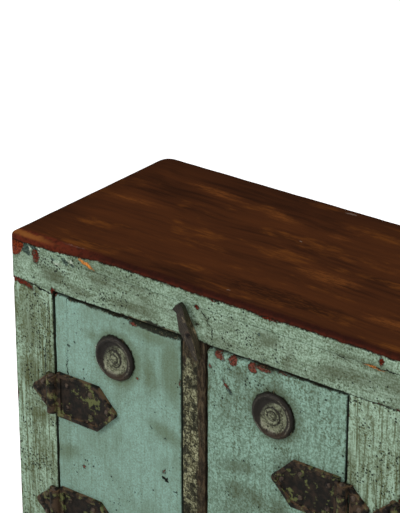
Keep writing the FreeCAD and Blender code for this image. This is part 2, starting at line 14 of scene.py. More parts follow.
import bmesh
import bpy
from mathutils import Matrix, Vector


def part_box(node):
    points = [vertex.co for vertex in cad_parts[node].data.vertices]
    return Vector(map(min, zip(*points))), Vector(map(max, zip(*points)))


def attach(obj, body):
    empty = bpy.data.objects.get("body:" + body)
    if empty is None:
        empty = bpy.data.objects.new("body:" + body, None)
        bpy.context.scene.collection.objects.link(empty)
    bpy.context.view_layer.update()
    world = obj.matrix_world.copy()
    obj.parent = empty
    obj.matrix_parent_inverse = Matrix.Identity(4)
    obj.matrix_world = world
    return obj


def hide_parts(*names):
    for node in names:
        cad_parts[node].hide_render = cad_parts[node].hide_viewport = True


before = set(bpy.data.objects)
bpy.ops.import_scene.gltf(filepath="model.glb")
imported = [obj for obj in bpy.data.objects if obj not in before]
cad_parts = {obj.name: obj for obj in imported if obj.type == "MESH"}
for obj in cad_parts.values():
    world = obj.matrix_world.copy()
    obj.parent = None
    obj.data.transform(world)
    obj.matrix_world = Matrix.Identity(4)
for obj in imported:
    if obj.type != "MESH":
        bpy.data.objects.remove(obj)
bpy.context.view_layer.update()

log = logging.getLogger("kang_cabinet")

MM = 0.001
# The distance from a mark that a piece doesn't have, in metres.
FAR = 1.0
# Places that are nearer to each other than this are the same place.
CLOSE = 0.1 * MM
# How much of the front the photograph shows, in millimetres from its left end.
SHOWN_LENGTH = 610.0
# How many marks are scattered over the front below what the photograph shows.
LOW_MARKS = 90
DOOR_NUMBERS = range(1, 5)

Colour = tuple[float, float, float, float]
Point = tuple[float, float, float]
Socket = bpy.types.NodeSocket
Sockets = bpy.types.NodeOutputs
Value = Socket | float | Sequence[float]
Look = tuple[Socket, Socket, Socket]

WHITE: Colour = (1.0, 1.0, 1.0, 1.0)
ORIGIN: Point = (0.0, 0.0, 0.0)


def linear(channel: float) -> float:
    """Turns one channel of a colour seen on screen, 0 to 255, into light."""
    share = channel / 255
    return share / 12.92 if share <= 0.04045 else ((share + 0.055) / 1.055) ** 2.4


def seen(red: float, green: float, blue: float) -> Colour:
    """Turns a colour as it is seen on screen into the one that shaders use."""
    return (linear(red), linear(green), linear(blue), 1.0)


class Axis(Enum):
    """A direction of the frame."""

    X = 0
    Y = 1
    Z = 2

    def at(self, amount: float, rest: float = 0.0) -> Point:
        """Gives a point with one number on this axis, and another on the other two."""
        return tuple(amount if place == self.value else rest for place in range(3))


class Side(Enum):
    """A face of a box, as its axis and which end of it."""

    LEFT = (Axis.X, False)
    RIGHT = (Axis.X, True)
    FRONT = (Axis.Y, False)
    BACK = (Axis.Y, True)
    BOTTOM = (Axis.Z, False)
    TOP = (Axis.Z, True)

    def __init__(self, axis: Axis, upper: bool) -> None:
        """Keeps the axis, and whether this is its upper end."""
        self.axis = axis
        self.upper = upper

    @property
    def prefix(self) -> str:
        """How the names of pieces on this side begin."""
        return self.name.lower()

    @property
    def outward(self) -> Point:
        """Which way the side faces."""
        return self.axis.at(1.0 if self.upper else -1.0)

    def end(self, span: "Span") -> float:
        """Gives where a box ends on this side."""
        return (span.high if self.upper else span.low)[self.axis.value]


class Batch(Enum):
    """The boards that are sawn together, by the seed that the first one's grain is drawn from."""

    BACK_RAIL = 11
    SIDE_TOP_RAILS = 21
    LONG_BOTTOM_RAILS = 31
    SIDE_BOTTOM_RAILS = 41
    CORNER_POSTS = 51
    UPRIGHTS = 61
    PLAIN_WOOD = 71
    DOORS = 100
    DOOR_BATTENS = 120

    def seed(self, number: int = 0) -> int:
        """Gives the seed of one board of the batch."""
        return self.value + number


class Kind(Enum):
    """What a mark on the paint is."""

    UNDERCOAT = "undercoat"
    BARE = "bare"
    RUBBED = "rubbed"
    FLAKE = "flake"
    # Grime, and painted shade in the gaps and round the bosses.
    GRIME = "grime"
    STAIN = "stain"
    PALE = "pale"
    CRACK = "crack"
    PITTED = "pitted"

    @property
    def socket(self) -> str:
        """The name of the paint effect's input for marks of this kind."""
        return f"{self.value.title()} Mark"


@dataclass(frozen=True)
class Span:
    """A box between two corners, in metres."""

    low: Vector
    high: Vector

    @classmethod
    def of(cls, node: str) -> "Span":
        """Gives the box of a node."""
        low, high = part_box(node)
        return cls(low, high)

    @property
    def size(self) -> Vector:
        """The box's three lengths."""
        return self.high - self.low

    @property
    def centre(self) -> Vector:
        """The middle of the box."""
        return (self.low + self.high) / 2

    def between(self, axis: Axis, low: float | None = None, high: float | None = None) -> "Span":
        """Cuts the box to new limits along one axis.

        Args:
            axis: The axis that the limits are on.
            low: The new low limit, or None to keep it.
            high: The new high limit, or None to keep it.

        Returns:
            The box between those limits.
        """
        corners = self.low.copy(), self.high.copy()
        if low is not None:
            corners[0][axis.value] = low
        if high is not None:
            corners[1][axis.value] = high
        return Span(*corners)

    def joined(self, other: "Span") -> "Span":
        """Gives the box that holds this one and another."""
        low = Vector(min(pair) for pair in zip(self.low, other.low))
        high = Vector(max(pair) for pair in zip(self.high, other.high))
        return Span(low, high)

    def arris_distance(self, point: Vector) -> float:
        """Gives how far a point on the box's surface is from the nearest arris."""
        gaps = (min(point[i] - self.low[i], self.high[i] - point[i]) for i in range(3))
        return max(0.0, sorted(gaps)[1])


@dataclass(frozen=True)
class Mark:
    """A mark on the front or the top, in millimetres from the front's upper left corner.

    The drop is how far below that corner a mark on the front is, or how far behind it one on the top.
    The turn is in degrees, and is positive where the mark's right end is nearer to the corner's level.
    """

    kind: Kind
    across: float
    drop: float
    half_length: float
    half_width: float
    turn: float = 0.0


UNDERCOAT, BARE, RUBBED, FLAKE, GRIME, STAIN, PALE, CRACK, PITTED = Kind


def mark_table(*rows: tuple[Kind | float, ...]) -> tuple[Mark, ...]:
    """Turns the rows of a table into marks, with a mark's fields in order."""
    return tuple(Mark(*row) for row in rows)


# The grime marks along the gaps under the top rail, beside the catch and down the door edges are painted
# shade in those gaps, with some grime.
FRONT_MARKS = mark_table(
    (RUBBED, 7, 18, 13.5, 16.5, -20), (FLAKE, 26, 22, 5, 9, 20), (FLAKE, 38, 15.5, 12, 2.6, -8),
    (FLAKE, 22, 24.5, 3, 5, 20), (UNDERCOAT, 40, 26, 5.6, 9.6, 4), (PALE, 30, 18, 1.8, 5.4, 5),
    (PALE, 46.5, 14, 1.6, 5, -12), (FLAKE, 69, 22.5, 4.6, 1.5, 4), (FLAKE, 81, 16, 3.6, 1.8, 10),
    (FLAKE, 90, 20.8, 5.2, 3.4, -30), (FLAKE, 102, 23.6, 3.2, 1.7, -20), (PALE, 98, 19, 6, 1.4, -25),
    (PALE, 76, 27, 7, 1.2, -10), (STAIN, 105, 12.5, 10, 7), (BARE, 125, 14.8, 13, 2.7, -22),
    (STAIN, 128, 17.5, 17, 5, -22), (STAIN, 71, 45, 16, 9), (STAIN, 150, 32, 20, 9),
    (STAIN, 109, 57, 18, 6), (STAIN, 144, 44.5, 6, 2.4, -20), (PITTED, 171, 50, 24, 11),
    (STAIN, 190, 53, 34, 9), (STAIN, 520, 44, 34, 11), (STAIN, 26, 134, 11, 30),
    (STAIN, 24, 196, 18, 22), (PITTED, 50, 130, 12, 40), (PITTED, 62, 33, 22, 8),
    (PITTED, 48, 80, 12, 10), (PITTED, 37, 113, 10, 16), (UNDERCOAT, 10, 69.6, 23, 3.9, -11),
    (CRACK, 43, 70, 26, 1.2, -7), (UNDERCOAT, 68.5, 70, 4.6, 5.6), (GRIME, 68.6, 78, 2.4, 9),
    (GRIME, 106, 70.5, 42, 2.6, -1), (GRIME, 170, 70.5, 42, 3.4, 1), (GRIME, 238, 70.8, 52, 7.2),
    (UNDERCOAT, 177, 70.6, 7, 1.6, 2), (UNDERCOAT, 199, 76, 6, 2.4, -4), (STAIN, 232, 84, 46, 9, -3),
    (STAIN, 259, 120, 15, 46, 3), (UNDERCOAT, 299.7, 22, 3.6, 2.7, -25),
    (CRACK, 310.5, 29.5, 6, 0.8, -42), (CRACK, 318, 38.5, 6.5, 0.8, -58), (CRACK, 323, 50, 6, 0.9, -80),
    (STAIN, 312, 32, 9, 3.4, -45), (STAIN, 299.5, 44.5, 4.6, 4), (GRIME, 299.5, 45, 2.4, 2),
    (GRIME, 309, 70.5, 11, 6, -8), (PITTED, 352, 52, 34, 12, 8), (PITTED, 372, 38, 16, 6),
    (FLAKE, 392.4, 30.9, 2.8, 2.6), (FLAKE, 400.7, 61.5, 1.9, 1.7), (FLAKE, 419.5, 58, 2.2, 1.5, -20),
    (UNDERCOAT, 405, 4.6, 15, 2.2, -3), (UNDERCOAT, 322, 5.6, 5, 1.2, -4), (STAIN, 436, 53, 4, 15, -8),
    (STAIN, 404, 33, 18, 9), (STAIN, 514, 24, 14, 4.4, -6), (CRACK, 511, 24, 8, 0.9, -12),
    (STAIN, 549, 22, 22, 5, -3), (BARE, 556, 23, 14, 1.7, -3), (UNDERCOAT, 565, 12, 2.4, 5, 10),
    (CRACK, 571, 22.6, 22, 0.7, 3), (GRIME, 342, 70, 38, 3.4, -1), (GRIME, 396, 71.5, 22, 2.8, -2),
    (GRIME, 456, 70, 50, 2.8), (UNDERCOAT, 333, 77.5, 8, 4, -22), (UNDERCOAT, 355, 78.5, 6, 5.6),
    (UNDERCOAT, 383, 79.5, 6.4, 5.6, -10), (UNDERCOAT, 399, 75.6, 11, 2.2, -2),
    (UNDERCOAT, 434, 71.5, 13, 1.7, 2), (UNDERCOAT, 319.6, 95.8, 2.4, 2),
    (UNDERCOAT, 345, 115, 8, 1.8, -48), (FLAKE, 349, 121, 6, 2, -50), (FLAKE, 349, 91, 3.2, 1.6, -8),
    (STAIN, 364, 94, 13, 10), (PITTED, 392, 100, 20, 10), (GRIME, 51.5, 176, 18, 1.3, 89),
    (CRACK, 59.5, 92, 7, 0.6, 86), (CRACK, 89.4, 176, 26, 0.7, 90), (PITTED, 115, 168, 9, 12, 10),
    (PITTED, 112, 104, 12, 8), (FLAKE, 92.7, 138.3, 2.2, 1.9), (FLAKE, 102.4, 132, 1.2, 2.2),
    (PALE, 139.5, 131, 1.7, 8, 8), (PALE, 141, 146, 1.6, 6, 22), (STAIN, 133, 112, 8, 6),
    (STAIN, 226, 140, 10, 22, 10), (RUBBED, 206, 150, 3, 2),
)

TOP_MARKS = mark_table(
    (BARE, 24, 3, 30, 3.4, 2), (PALE, 96, 9, 17, 1.5, -1), (PALE, 318, 305, 9, 2, 4),
    (PALE, 315, 195.6, 1.8, 1.2), (PALE, 328, 25.3, 1.6, 1), (RUBBED, 141, 257, 36, 8, 6),
    (RUBBED, 248, 243, 34, 9, 12), (RUBBED, 404, 125, 40, 12), (RUBBED, 47, 168, 38, 5, -6),
    (RUBBED, 241, 113, 14, 4), (RUBBED, 348, 232, 12, 5), (RUBBED, 530, 68, 26, 9),
    (RUBBED, 780, 210, 60, 11, 3), (RUBBED, 905, 90, 48, 9, -4), (STAIN, 390, 48, 95, 18),
    (STAIN, 318, 247, 34, 5, -2), (STAIN, 234, 273, 34, 8, -14), (STAIN, 75, 210, 38, 5, -10),
    (STAIN, 345, 178, 20, 5, -4), (STAIN, 690, 150, 54, 7, 2), (STAIN, 980, 240, 44, 9, -3),
)


class Tree:
    """Adds shader nodes to a tree, and links each to the sockets that it is given."""

    def __init__(self, tree: bpy.types.NodeTree) -> None:
        """Keeps the tree that nodes are added to."""
        self.tree = tree

    def feed(self, socket: Socket, value: Value) -> None:
        """Links a socket to another one, or sets its value."""
        if isinstance(value, Socket):
            self.tree.links.new(value, socket)
        else:
            socket.default_value = value

    def add(self, kind: str, inputs: dict | None = None, **settings: object) -> bpy.types.Node:
        """Adds a node.

        Args:
            kind: The node's type, without its common beginning.
            inputs: What its input sockets get, by name or number.
            settings: The node's own settings.

        Returns:
            The new node.
        """
        prefix = "" if kind.startswith("NodeGroup") else "ShaderNode"
        node = self.tree.nodes.new(prefix + kind)
        for name, value in settings.items():
            setattr(node, name, value)
        for name, value in (inputs or {}).items():
            self.feed(node.inputs[name], value)
        return node

    def math(self, operation: str, *values: Value) -> Socket:
        """Works out one number from others."""
        return self.add("Math", dict(enumerate(values)), operation=operation).outputs[0]

    def times(self, first: Value, second: Value) -> Socket:
        """Multiplies two numbers."""
        return self.math("MULTIPLY", first, second)

    def plus(self, first: Value, second: Value) -> Socket:
        """Adds two numbers."""
        return self.math("ADD", first, second)

    def minus(self, first: Value, second: Value) -> Socket:
        """Takes the second number from the first."""
        return self.math("SUBTRACT", first, second)

    def blend(self, first: Value, weight: float, second: Value, other: float) -> Socket:
        """Adds two numbers, each by its own weight."""
        return self.math("MULTIPLY_ADD", first, weight, self.times(second, other))

    def waver(self, noise: Value, reach: float) -> Socket:
        """Turns a noise into a distance of up to a reach either way."""
        return self.math("MULTIPLY_ADD", noise, 2 * reach, -reach)

    def fold(self, operation: str, values: Sequence[Value]) -> Socket:
        """Works out one number from a list, two at a time.

        Args:
            operation: What is done with each two.
            values: The numbers, in order.

        Returns:
            The one that is left.
        """
        result = values[0]
        for value in values[1:]:
            result = self.math(operation, result, value)
        return result

    def vector(self, operation: str, *values: Value) -> Socket:
        """Works out one vector from others."""
        return self.add("VectorMath", dict(enumerate(values)), operation=operation).outputs[0]

    def dot(self, first: Value, second: Value) -> Socket:
        """Gives how far one vector reaches along another."""
        return self.add("VectorMath", {0: first, 1: second}, operation="DOT_PRODUCT").outputs["Value"]

    def split(self, vector: Value) -> Sockets:
        """Gives a vector's X, Y and Z."""
        return self.add("SeparateXYZ", {0: vector}).outputs

    def drawn(self, where: Value, share: float, axis: Axis = Axis.X) -> Socket:
        """Draws a pattern out along an axis, by leaving the coordinates a share of their length there."""
        return self.vector("MULTIPLY", where, axis.at(share, 1.0))

    def normal(self) -> Socket:
        """Gives which way the surface faces."""
        return self.add("TexCoord").outputs["Normal"]

    def smooth(self, value: Value, start: Value, end: Value, high: float = 1.0, low: float = 0.0) -> Socket:
        """Turns a range of values smoothly into another.

        Args:
            value: The value to turn.
            start: Where the range starts, which gives low.
            end: Where the range ends, which gives high.
            high: The result at the end and past it.
            low: The result at the start and before it.

        Returns:
            The turned value.
        """
        inputs = {"Value": value, "From Min": start, "From Max": end, "To Min": low, "To Max": high}
        return self.add("MapRange", inputs, interpolation_type="SMOOTHSTEP").outputs[0]

    def clouds(self, where: Value, scale: float, detail: float, roughness: float) -> Sockets:
        """Adds a cloudy noise, and gives its outputs: a number and a colour."""
        inputs = {"Vector": where, "Scale": scale, "Detail": detail, "Roughness": roughness}
        return self.add("TexNoise", inputs).outputs

    def noise(self, where: Value, scale: float, detail: float = 3.0, roughness: float = 0.55) -> Socket:
        """Gives a cloudy noise, with its features about one metre divided by scale across."""
        return self.clouds(where, scale, detail, roughness)[0]

    def drift(self, where: Value, scale: float, detail: float = 3.0, roughness: float = 0.55) -> Socket:
        """Gives a cloudy noise that points any way, by up to a half on each axis."""
        return self.vector("SUBTRACT", self.clouds(where, scale, detail, roughness)[1], (0.5, 0.5, 0.5))

    def mix(self, factor: Value, first: Value, second: Value) -> Socket:
        """Mixes two colours, with the second laid over the first by a factor from 0 to 1."""
        return self.add("Mix", {0: factor, 6: first, 7: second}, data_type="RGBA").outputs[2]

    def place(self, effect: type["Effect"], inputs: dict[str, Value]) -> Sockets:
        """Places a shared effect with what its inputs get by name, and gives its outputs."""
        return self.add("Group", inputs, node_tree=shared(effect).group).outputs


class Effect:
    """A group of shader nodes that several finishes share, built once."""

    title = ""
    takes: dict[str, Value] = {}
    gives: tuple[str, ...] = ()

    def __init__(self) -> None:
        """Makes the group with its named sockets, and wires it."""
        self.group = bpy.data.node_groups.new(self.title, "ShaderNodeTree")
        for name, default in self.takes.items():
            kind = "Float" if isinstance(default, float) else "Color" if len(default) == 4 else "Vector"
            self.socket("INPUT", name, kind).default_value = default
        for name in self.gives:
            self.socket("OUTPUT", name, "Color" if name == "Color" else "Float")
        self.tree = Tree(self.group)
        self.source = self.tree.add("NodeGroupInput").outputs
        sink = self.tree.add("NodeGroupOutput")
        for name, value in self.wire().items():
            self.tree.feed(sink.inputs[name], value)

    def socket(self, way: str, name: str, kind: str) -> bpy.types.NodeTreeInterfaceSocket:
        """Adds a named input or output to the group."""
        return self.group.interface.new_socket(name, in_out=way, socket_type=f"NodeSocket{kind}")

    def wire(self) -> dict[str, Socket]:
        """Adds the group's nodes, and gives the socket for each output."""
        raise NotImplementedError


@cache
def shared(effect: type[Effect]) -> Effect:
    """Builds a shared effect the first time it is asked for."""
    return effect()


class ArrisDistance(Effect):
    """How far a point on a box is from its nearest arris, in metres."""

    title = "Arris Distance"
    takes = {"Coordinates": ORIGIN, "Low": ORIGIN, "High": ORIGIN}
    gives = ("Distance",)

    def wire(self) -> dict[str, Socket]:
        """Takes the second smallest of the distances to the three pairs of faces.

        Returns:
            The socket for each output.
        """
        tree, source = self.tree, self.source
        above = tree.vector("SUBTRACT", source["Coordinates"], source["Low"])
        below = tree.vector("SUBTRACT", source["High"], source["Coordinates"])
        nearest = tree.vector("MINIMUM", above, below)
        x, y, z = tree.split(nearest)
        lesser = tree.math("MINIMUM", x, y)
        greater = tree.math("MAXIMUM", x, y)
        second = tree.math("MAXIMUM", lesser, tree.math("MINIMUM", greater, z))
        return {"Distance": tree.math("MAXIMUM", second, 0)}


class Ellipse(Effect):
    """How far a point of the front is outside a turned ellipse, about, in metres. Inside, it is negative.

    Along and Across point along the two half axes, and are as long as one divided by theirs. Least is
    the shorter of the two half axes.
    """

    title = "Ellipse"
    takes = {
        "Coordinates": ORIGIN, "Centre": ORIGIN, "Along": (100.0, 0.0, 0.0),
        "Across": (0.0, 0.0, 100.0), "Least": 0.01,
    }
    gives = ("Distance",)

    def wire(self) -> dict[str, Socket]:
        """Measures the point from the centre in half lengths and half widths.

        Returns:
            The socket for each output.
        """
        tree, source = self.tree, self.source
        offset = tree.vector("SUBTRACT", source["Coordinates"], source["Centre"])
        along, across = tree.dot(offset, source["Along"]), tree.dot(offset, source["Across"])
        square = tree.math("MULTIPLY_ADD", along, along, tree.times(across, across))
        excess = tree.minus(tree.math("SQRT", square), 1)
        return {"Distance": tree.times(excess, source["Least"])}


class WoodGrain(Effect):
    """Wood with its grain along X: streaks, slow changes of tone, and fine pores."""

    title = "Wood Grain"
    takes = {
        "Coordinates": ORIGIN, "Dark": (0.05, 0.03, 0.02, 1.0),
        "Middle": (0.1, 0.06, 0.04, 1.0), "Light": (0.2, 0.12, 0.08, 1.0), "Contrast": 1.0, "Pores": 0.45,
    }
    gives = ("Color", "Height")

    BEND = (0.0, 0.05, 0.05)

    def wire(self) -> dict[str, Socket]:
        """Lays streaks over slow changes, with the grain bent a little by a broad noise.

        Returns:
            The socket for each output.
        """
        tree, source = self.tree, self.source
        where = source["Coordinates"]
        bent = tree.vector("MULTIPLY_ADD", tree.drift(where, 4, 2), self.BEND, where)
        broad = tree.noise(tree.drawn(bent, 0.22), 17, 3)
        streak = tree.noise(tree.drawn(bent, 0.05), 130, 5, 0.6)
        pore = tree.noise(tree.drawn(bent, 0.03), 620, 2, 0.6)
        tone = tree.blend(broad, 0.55, streak, 0.45)
        spread = tree.math("MULTIPLY_ADD", tree.minus(tone, 0.5), source["Contrast"], 0.5)
        lighter = tree.mix(tree.smooth(spread, 0.42, 0.68), source["Middle"], source["Light"])
        colour = tree.mix(tree.smooth(spread, 0.5, 0.33), lighter, source["Dark"])
        opened = tree.times(tree.smooth(pore, 0.45, 0.35), source["Pores"])
        darkened = tree.mix(opened, colour, source["Dark"])
        return {"Color": darkened, "Height": tree.blend(pore, 0.6, streak, 0.4)}


class Pits(Effect):
    """Small round pits, in clusters. The mask is 1 in a pit.

    Up to an amount of 1 the clusters stay apart, and past it pits come up between them too.
    """

    title = "Pits"
    takes = {"Coordinates": ORIGIN, "Amount": 0.5, "Scale": 210.0}
    gives = ("Mask",)

    def wire(self) -> dict[str, Socket]:
        """Keeps the middles of some cells of a cellular pattern.

        Returns:
            The socket for each output.
        """
        tree, source = self.tree, self.source
        where, amount = source["Coordinates"], source["Amount"]
        cells = tree.add("TexVoronoi", {"Vector": where, "Scale": source["Scale"]}).outputs
        chance = tree.add("SeparateColor", {0: cells["Color"]}).outputs[0]
        clustered = tree.times(tree.smooth(tree.noise(where, 30, 3, 0.6), 0.4, 0.64), amount)
        odds = tree.plus(clustered, tree.smooth(amount, 1, 1.6, 0.4))
        radius = tree.smooth(tree.minus(odds, chance), 0, 0.26, 0.38)
        return {"Mask": tree.smooth(cells["Distance"], radius, tree.times(radius, 0.55))}


class OldPaint(Effect):
    """Old paint over a red undercoat on wood: mottled, dirty, chipped most at the arrises."""

    title = "Old Paint"
    takes = {
        "Coordinates": ORIGIN, "Arris": FAR, **{kind.socket: FAR for kind in Kind},
        "Unpainted": 0.0, "Wear": 0.5, "Dirt": 0.5, "Brush": 0.5, "Speckle": 0.5, "Pitting": 0.5,
        "Paint": (0.2, 0.3, 0.2, 1.0), "Pale": (0.3, 0.4, 0.3, 1.0), "Dirty": (0.1, 0.1, 0.05, 1.0),
        "Undercoat": (0.1, 0.02, 0.01, 1.0), "Bare": (0.4, 0.2, 0.1, 1.0),
    }
    gives = ("Color", "Roughness", "Height")

    # The colour of grime, and of painted shade in the gaps.
    GRIME = seen(30, 29, 20)
    SCRATCH = seen(112, 104, 76)
    FLAKE = seen(44, 56, 50)
    FLAKE_LIGHT = seen(80, 98, 88)
    SCUFF = seen(192, 200, 184)
    RAW = seen(208, 132, 62)
    RAW_DARK = seen(150, 100, 54)
    RUBBED = seen(122, 54, 28)
    RUBBED_DARK = seen(80, 32, 20)
    HOLE = seen(18, 21, 15)
    SMALL_PITS = 330.0

    def film(self) -> tuple[Socket, Socket, Socket, Socket]:
        """Mottles and brushes the whole paint film, and clouds it with dirt.

        Returns:
            The film's colour and height, and its middling and its fine noise.
        """
        tree, source = self.tree, self.source
        where, paint, pale, dirty = (source[name] for name in ("Coordinates", "Paint", "Pale", "Dirty"))
        middle = tree.noise(where, 150, 5, 0.7)
        fine = tree.noise(where, 390, 2, 0.6)
        broad = tree.noise(tree.drawn(where, 0.55), 20, 5, 0.65)
        brush = tree.noise(tree.drawn(where, 0.05), 250, 4, 0.65)
        speckle = tree.blend(fine, 0.66, middle, 0.34)
        colour = tree.mix(tree.smooth(speckle, 0.455, 0.6), paint, pale)
        crowd = tree.smooth(tree.noise(where, 34, 4, 0.6), 0.42, 0.58, 1, 0.3)
        dusk = tree.fold("MULTIPLY", [tree.smooth(speckle, 0.48, 0.39), crowd, source["Speckle"]])
        colour = tree.mix(dusk, colour, dirty)
        colour = tree.mix(tree.times(tree.smooth(broad, 0.42, 0.64), source["Dirt"]), colour, dirty)
        colour = tree.mix(tree.times(tree.smooth(brush, 0.5, 0.36), source["Brush"]), colour, dirty)
        colour = tree.mix(tree.times(tree.smooth(brush, 0.54, 0.66), source["Brush"]), colour, pale)
        return colour, tree.blend(speckle, 0.5, brush, 0.3), middle, fine

    def chips(self) -> Socket:
        """Gives how deep the wear has gone.

        Returns:
            The depth: above 0 the undercoat shows, and a little deeper the wood.
        """
        tree, source = self.tree, self.source
        ragged = tree.noise(tree.drawn(source["Coordinates"], 0.5), 70, 7, 0.66)
        held = tree.smooth(source["Arris"], 0, 8 * MM, 0.22, -0.01)
        level = tree.math("MULTIPLY_ADD", source["Wear"], 0.22, 0.3)
        return tree.minus(level, tree.plus(ragged, held))

    def rings(self, depth: Socket, middle: Socket) -> Socket:
        """Gives a mask of the grime round each worn place and in patches along the arrises.

        Args:
            depth: How deep the wear has gone.
            middle: The film's middling noise.

        Returns:
            The mask.
        """
        tree, source = self.tree, self.source
        arris = tree.smooth(source["Arris"], 2.2 * MM, 0.3 * MM, 0.85)
        masks = [
            tree.smooth(depth, -0.04, -0.005),
            tree.smooth(source["Undercoat Mark"], 1.6 * MM, 0.2 * MM, 0.8),
            tree.smooth(source["Bare Mark"], 0.9 * MM, 0, 0.6),
            tree.smooth(source["Rubbed Mark"], 1.2 * MM, 0, 0.7),
            tree.times(arris, tree.smooth(middle, 0.56, 0.44)),
        ]
        return tree.times(tree.fold("MAXIMUM", masks), 0.86)

    def lost(self, colour: Socket, fine: Socket) -> Socket:
        """Lays dark flakes over a colour, and the grime marks, which are painted shade in the gaps and
        ingrained grime, with a few scratches in them.

        Args:
            colour: The colour below.
            fine: The film's fine noise.

        Returns:
            The new colour.
        """
        tree, source = self.tree, self.source
        flake = tree.mix(tree.smooth(fine, 0.5, 0.62), self.FLAKE, self.FLAKE_LIGHT)
        colour = tree.mix(tree.smooth(source["Flake Mark"], 0.3 * MM, -0.5 * MM, 0.94), colour, flake)
        drawn = tree.noise(tree.drawn(source["Coordinates"], 0.06), 520, 2, 0.5)
        # The grime marks' colour: painted shade in the gaps and grime, with a few scratches.
        grime = tree.mix(tree.smooth(drawn, 0.6, 0.68, 0.8), self.GRIME, self.SCRATCH)
        return tree.mix(tree.smooth(source["Grime Mark"], 0.8 * MM, -1.2 * MM, 0.96), colour, grime)

    def holes(self) -> Socket:
        """Gives a mask of the cracks and pits, which crowd in the pitted marks.

        Returns:
            The mask.
        """
        tree, source = self.tree, self.source
        crack = tree.smooth(source["Crack Mark"], 0.35 * MM, -0.35 * MM)
        crowd = tree.smooth(source["Pitted Mark"], 5 * MM, -3 * MM)
        inputs = {"Coordinates": source["Coordinates"], "Amount": tree.plus(source["Pitting"], crowd)}
        large = tree.place(Pits, inputs)["Mask"]
        small = tree.place(Pits, inputs | {"Scale": self.SMALL_PITS})["Mask"]
        return tree.fold("MAXIMUM", [crack, tree.times(large, 0.92), tree.times(small, 0.8)])

    def wire(self) -> dict[str, Socket]:
        """Lays grime with painted shade, undercoat, bare wood, cracks and pits over the film, the deepest
        wear last.

        Returns:
            The socket for each output.
        """
        tree, source = self.tree, self.source
        colour, height, middle, fine = self.film()
        depth = self.chips()
        under, bare, rubbed, stain, pale = (
            source[kind.socket] for kind in (UNDERCOAT, BARE, RUBBED, STAIN, PALE)
        )
        colour = tree.mix(tree.smooth(stain, 8 * MM, -7 * MM, 0.6), colour, source["Dirty"])
        scuff = tree.times(tree.smooth(pale, MM, -MM), tree.smooth(fine, 0.4, 0.56, 0.9, 0.15))
        colour = tree.mix(scuff, colour, self.SCUFF)
        colour = tree.mix(self.rings(depth, middle), colour, self.GRIME)
        frayed = tree.plus(under, tree.waver(fine, 2.5 * MM))
        whole = tree.smooth(middle, 0.38, 0.46, 1, 0.4)
        flaked = tree.times(tree.smooth(frayed, 0.3 * MM, -0.5 * MM), whole)
        undercoat = tree.math("MAXIMUM", tree.smooth(depth, 0.01, 0.03), flaked)
        red = tree.mix(tree.smooth(fine, 0.52, 0.42, 0.75), source["Undercoat"], self.GRIME)
        colour = tree.mix(undercoat, colour, red)
        wood = tree.math("MAXIMUM", tree.smooth(depth, 0.06, 0.085), source["Unpainted"])
        colour = tree.mix(wood, colour, source["Bare"])
        raw = tree.mix(tree.smooth(fine, 0.52, 0.4), self.RAW, self.RAW_DARK)
        colour = tree.mix(tree.smooth(bare, 0.6 * MM, -1.2 * MM), colour, raw)
        brown = tree.mix(tree.smooth(fine, 0.56, 0.42), self.RUBBED, self.RUBBED_DARK)
        colour = tree.mix(tree.smooth(rubbed, 0.3 * MM, -0.6 * MM), colour, brown)
        colour = self.lost(colour, fine)
        hole = self.holes()
        loss = tree.blend(undercoat, 0.5, wood, 0.4)
        rough = tree.math("MULTIPLY_ADD", undercoat, 0.1, 0.42)
        return {
            "Color": tree.mix(hole, colour, self.HOLE),
            "Roughness": tree.math("MULTIPLY_ADD", middle, 0.3, rough),
            "Height": tree.minus(height, tree.plus(loss, hole)),
        }


class Patina(Effect):
    """Dark, handled metal or wood: broad tones, fine grit, and polish by a given mask, which is wear where
    the surface stands out and painted light where it faces up.
    """

    title = "Patina"
    takes = {
        "Coordinates": ORIGIN, "Base": (0.02, 0.015, 0.01, 1.0),
        "Bloom": (0.06, 0.04, 0.02, 1.0), "Polish": (0.2, 0.2, 0.2, 1.0),
        "Remains": (0.2, 0.2, 0.1, 1.0), "Patches": 0.0, "Worn": 0.0, "Scale": 90.0,
    }
    gives = ("Color", "Roughness", "Height")

    GRIT = seen(12, 10, 9)

    def wire(self) -> dict[str, Socket]:
        """Mixes bloom into the base by a broad noise, and polish by the mask that is given, of wear and
        painted light.

        Returns:
            The socket for each output.
        """
        tree, source = self.tree, self.source
        where = source["Coordinates"]
        broad = tree.noise(where, source["Scale"], 5, 0.66)
        grit = tree.noise(where, 700, 3, 0.7)
        colour = tree.mix(tree.smooth(broad, 0.42, 0.66), source["Base"], source["Bloom"])
        colour = tree.mix(tree.smooth(grit, 0.5, 0.3, 0.5), colour, self.GRIT)
        patch = tree.smooth(tree.noise(where, 62, 5, 0.68), 0.565, 0.61)
        colour = tree.mix(tree.times(patch, source["Patches"]), colour, source["Remains"])
        # The polish stands for wear and for painted light, as the given mask says.
        rubbed = tree.times(source["Worn"], tree.smooth(broad, 0.44, 0.56))
        rough = tree.smooth(grit, 0.3, 0.7, 0.78, 0.5)
        return {
            "Color": tree.mix(rubbed, colour, source["Polish"]),
            "Roughness": tree.minus(rough, tree.times(rubbed, 0.2)),
            "Height": tree.blend(broad, 0.7, grit, 0.3),
        }


@dataclass(frozen=True)
class Surface:
    """What a finish needs to know of the piece that it covers.

    Where a neighbour's paint runs on over the joint, the whole is the box that holds both.
    """

    name: str
    span: Span
    grain: Axis
    painted: tuple[Side, ...] = ()
    seed: int = 0
    whole: Span | None = None

    @property
    def outline(self) -> Span:
        """The box whose arrises are worn."""
        return self.whole or self.span


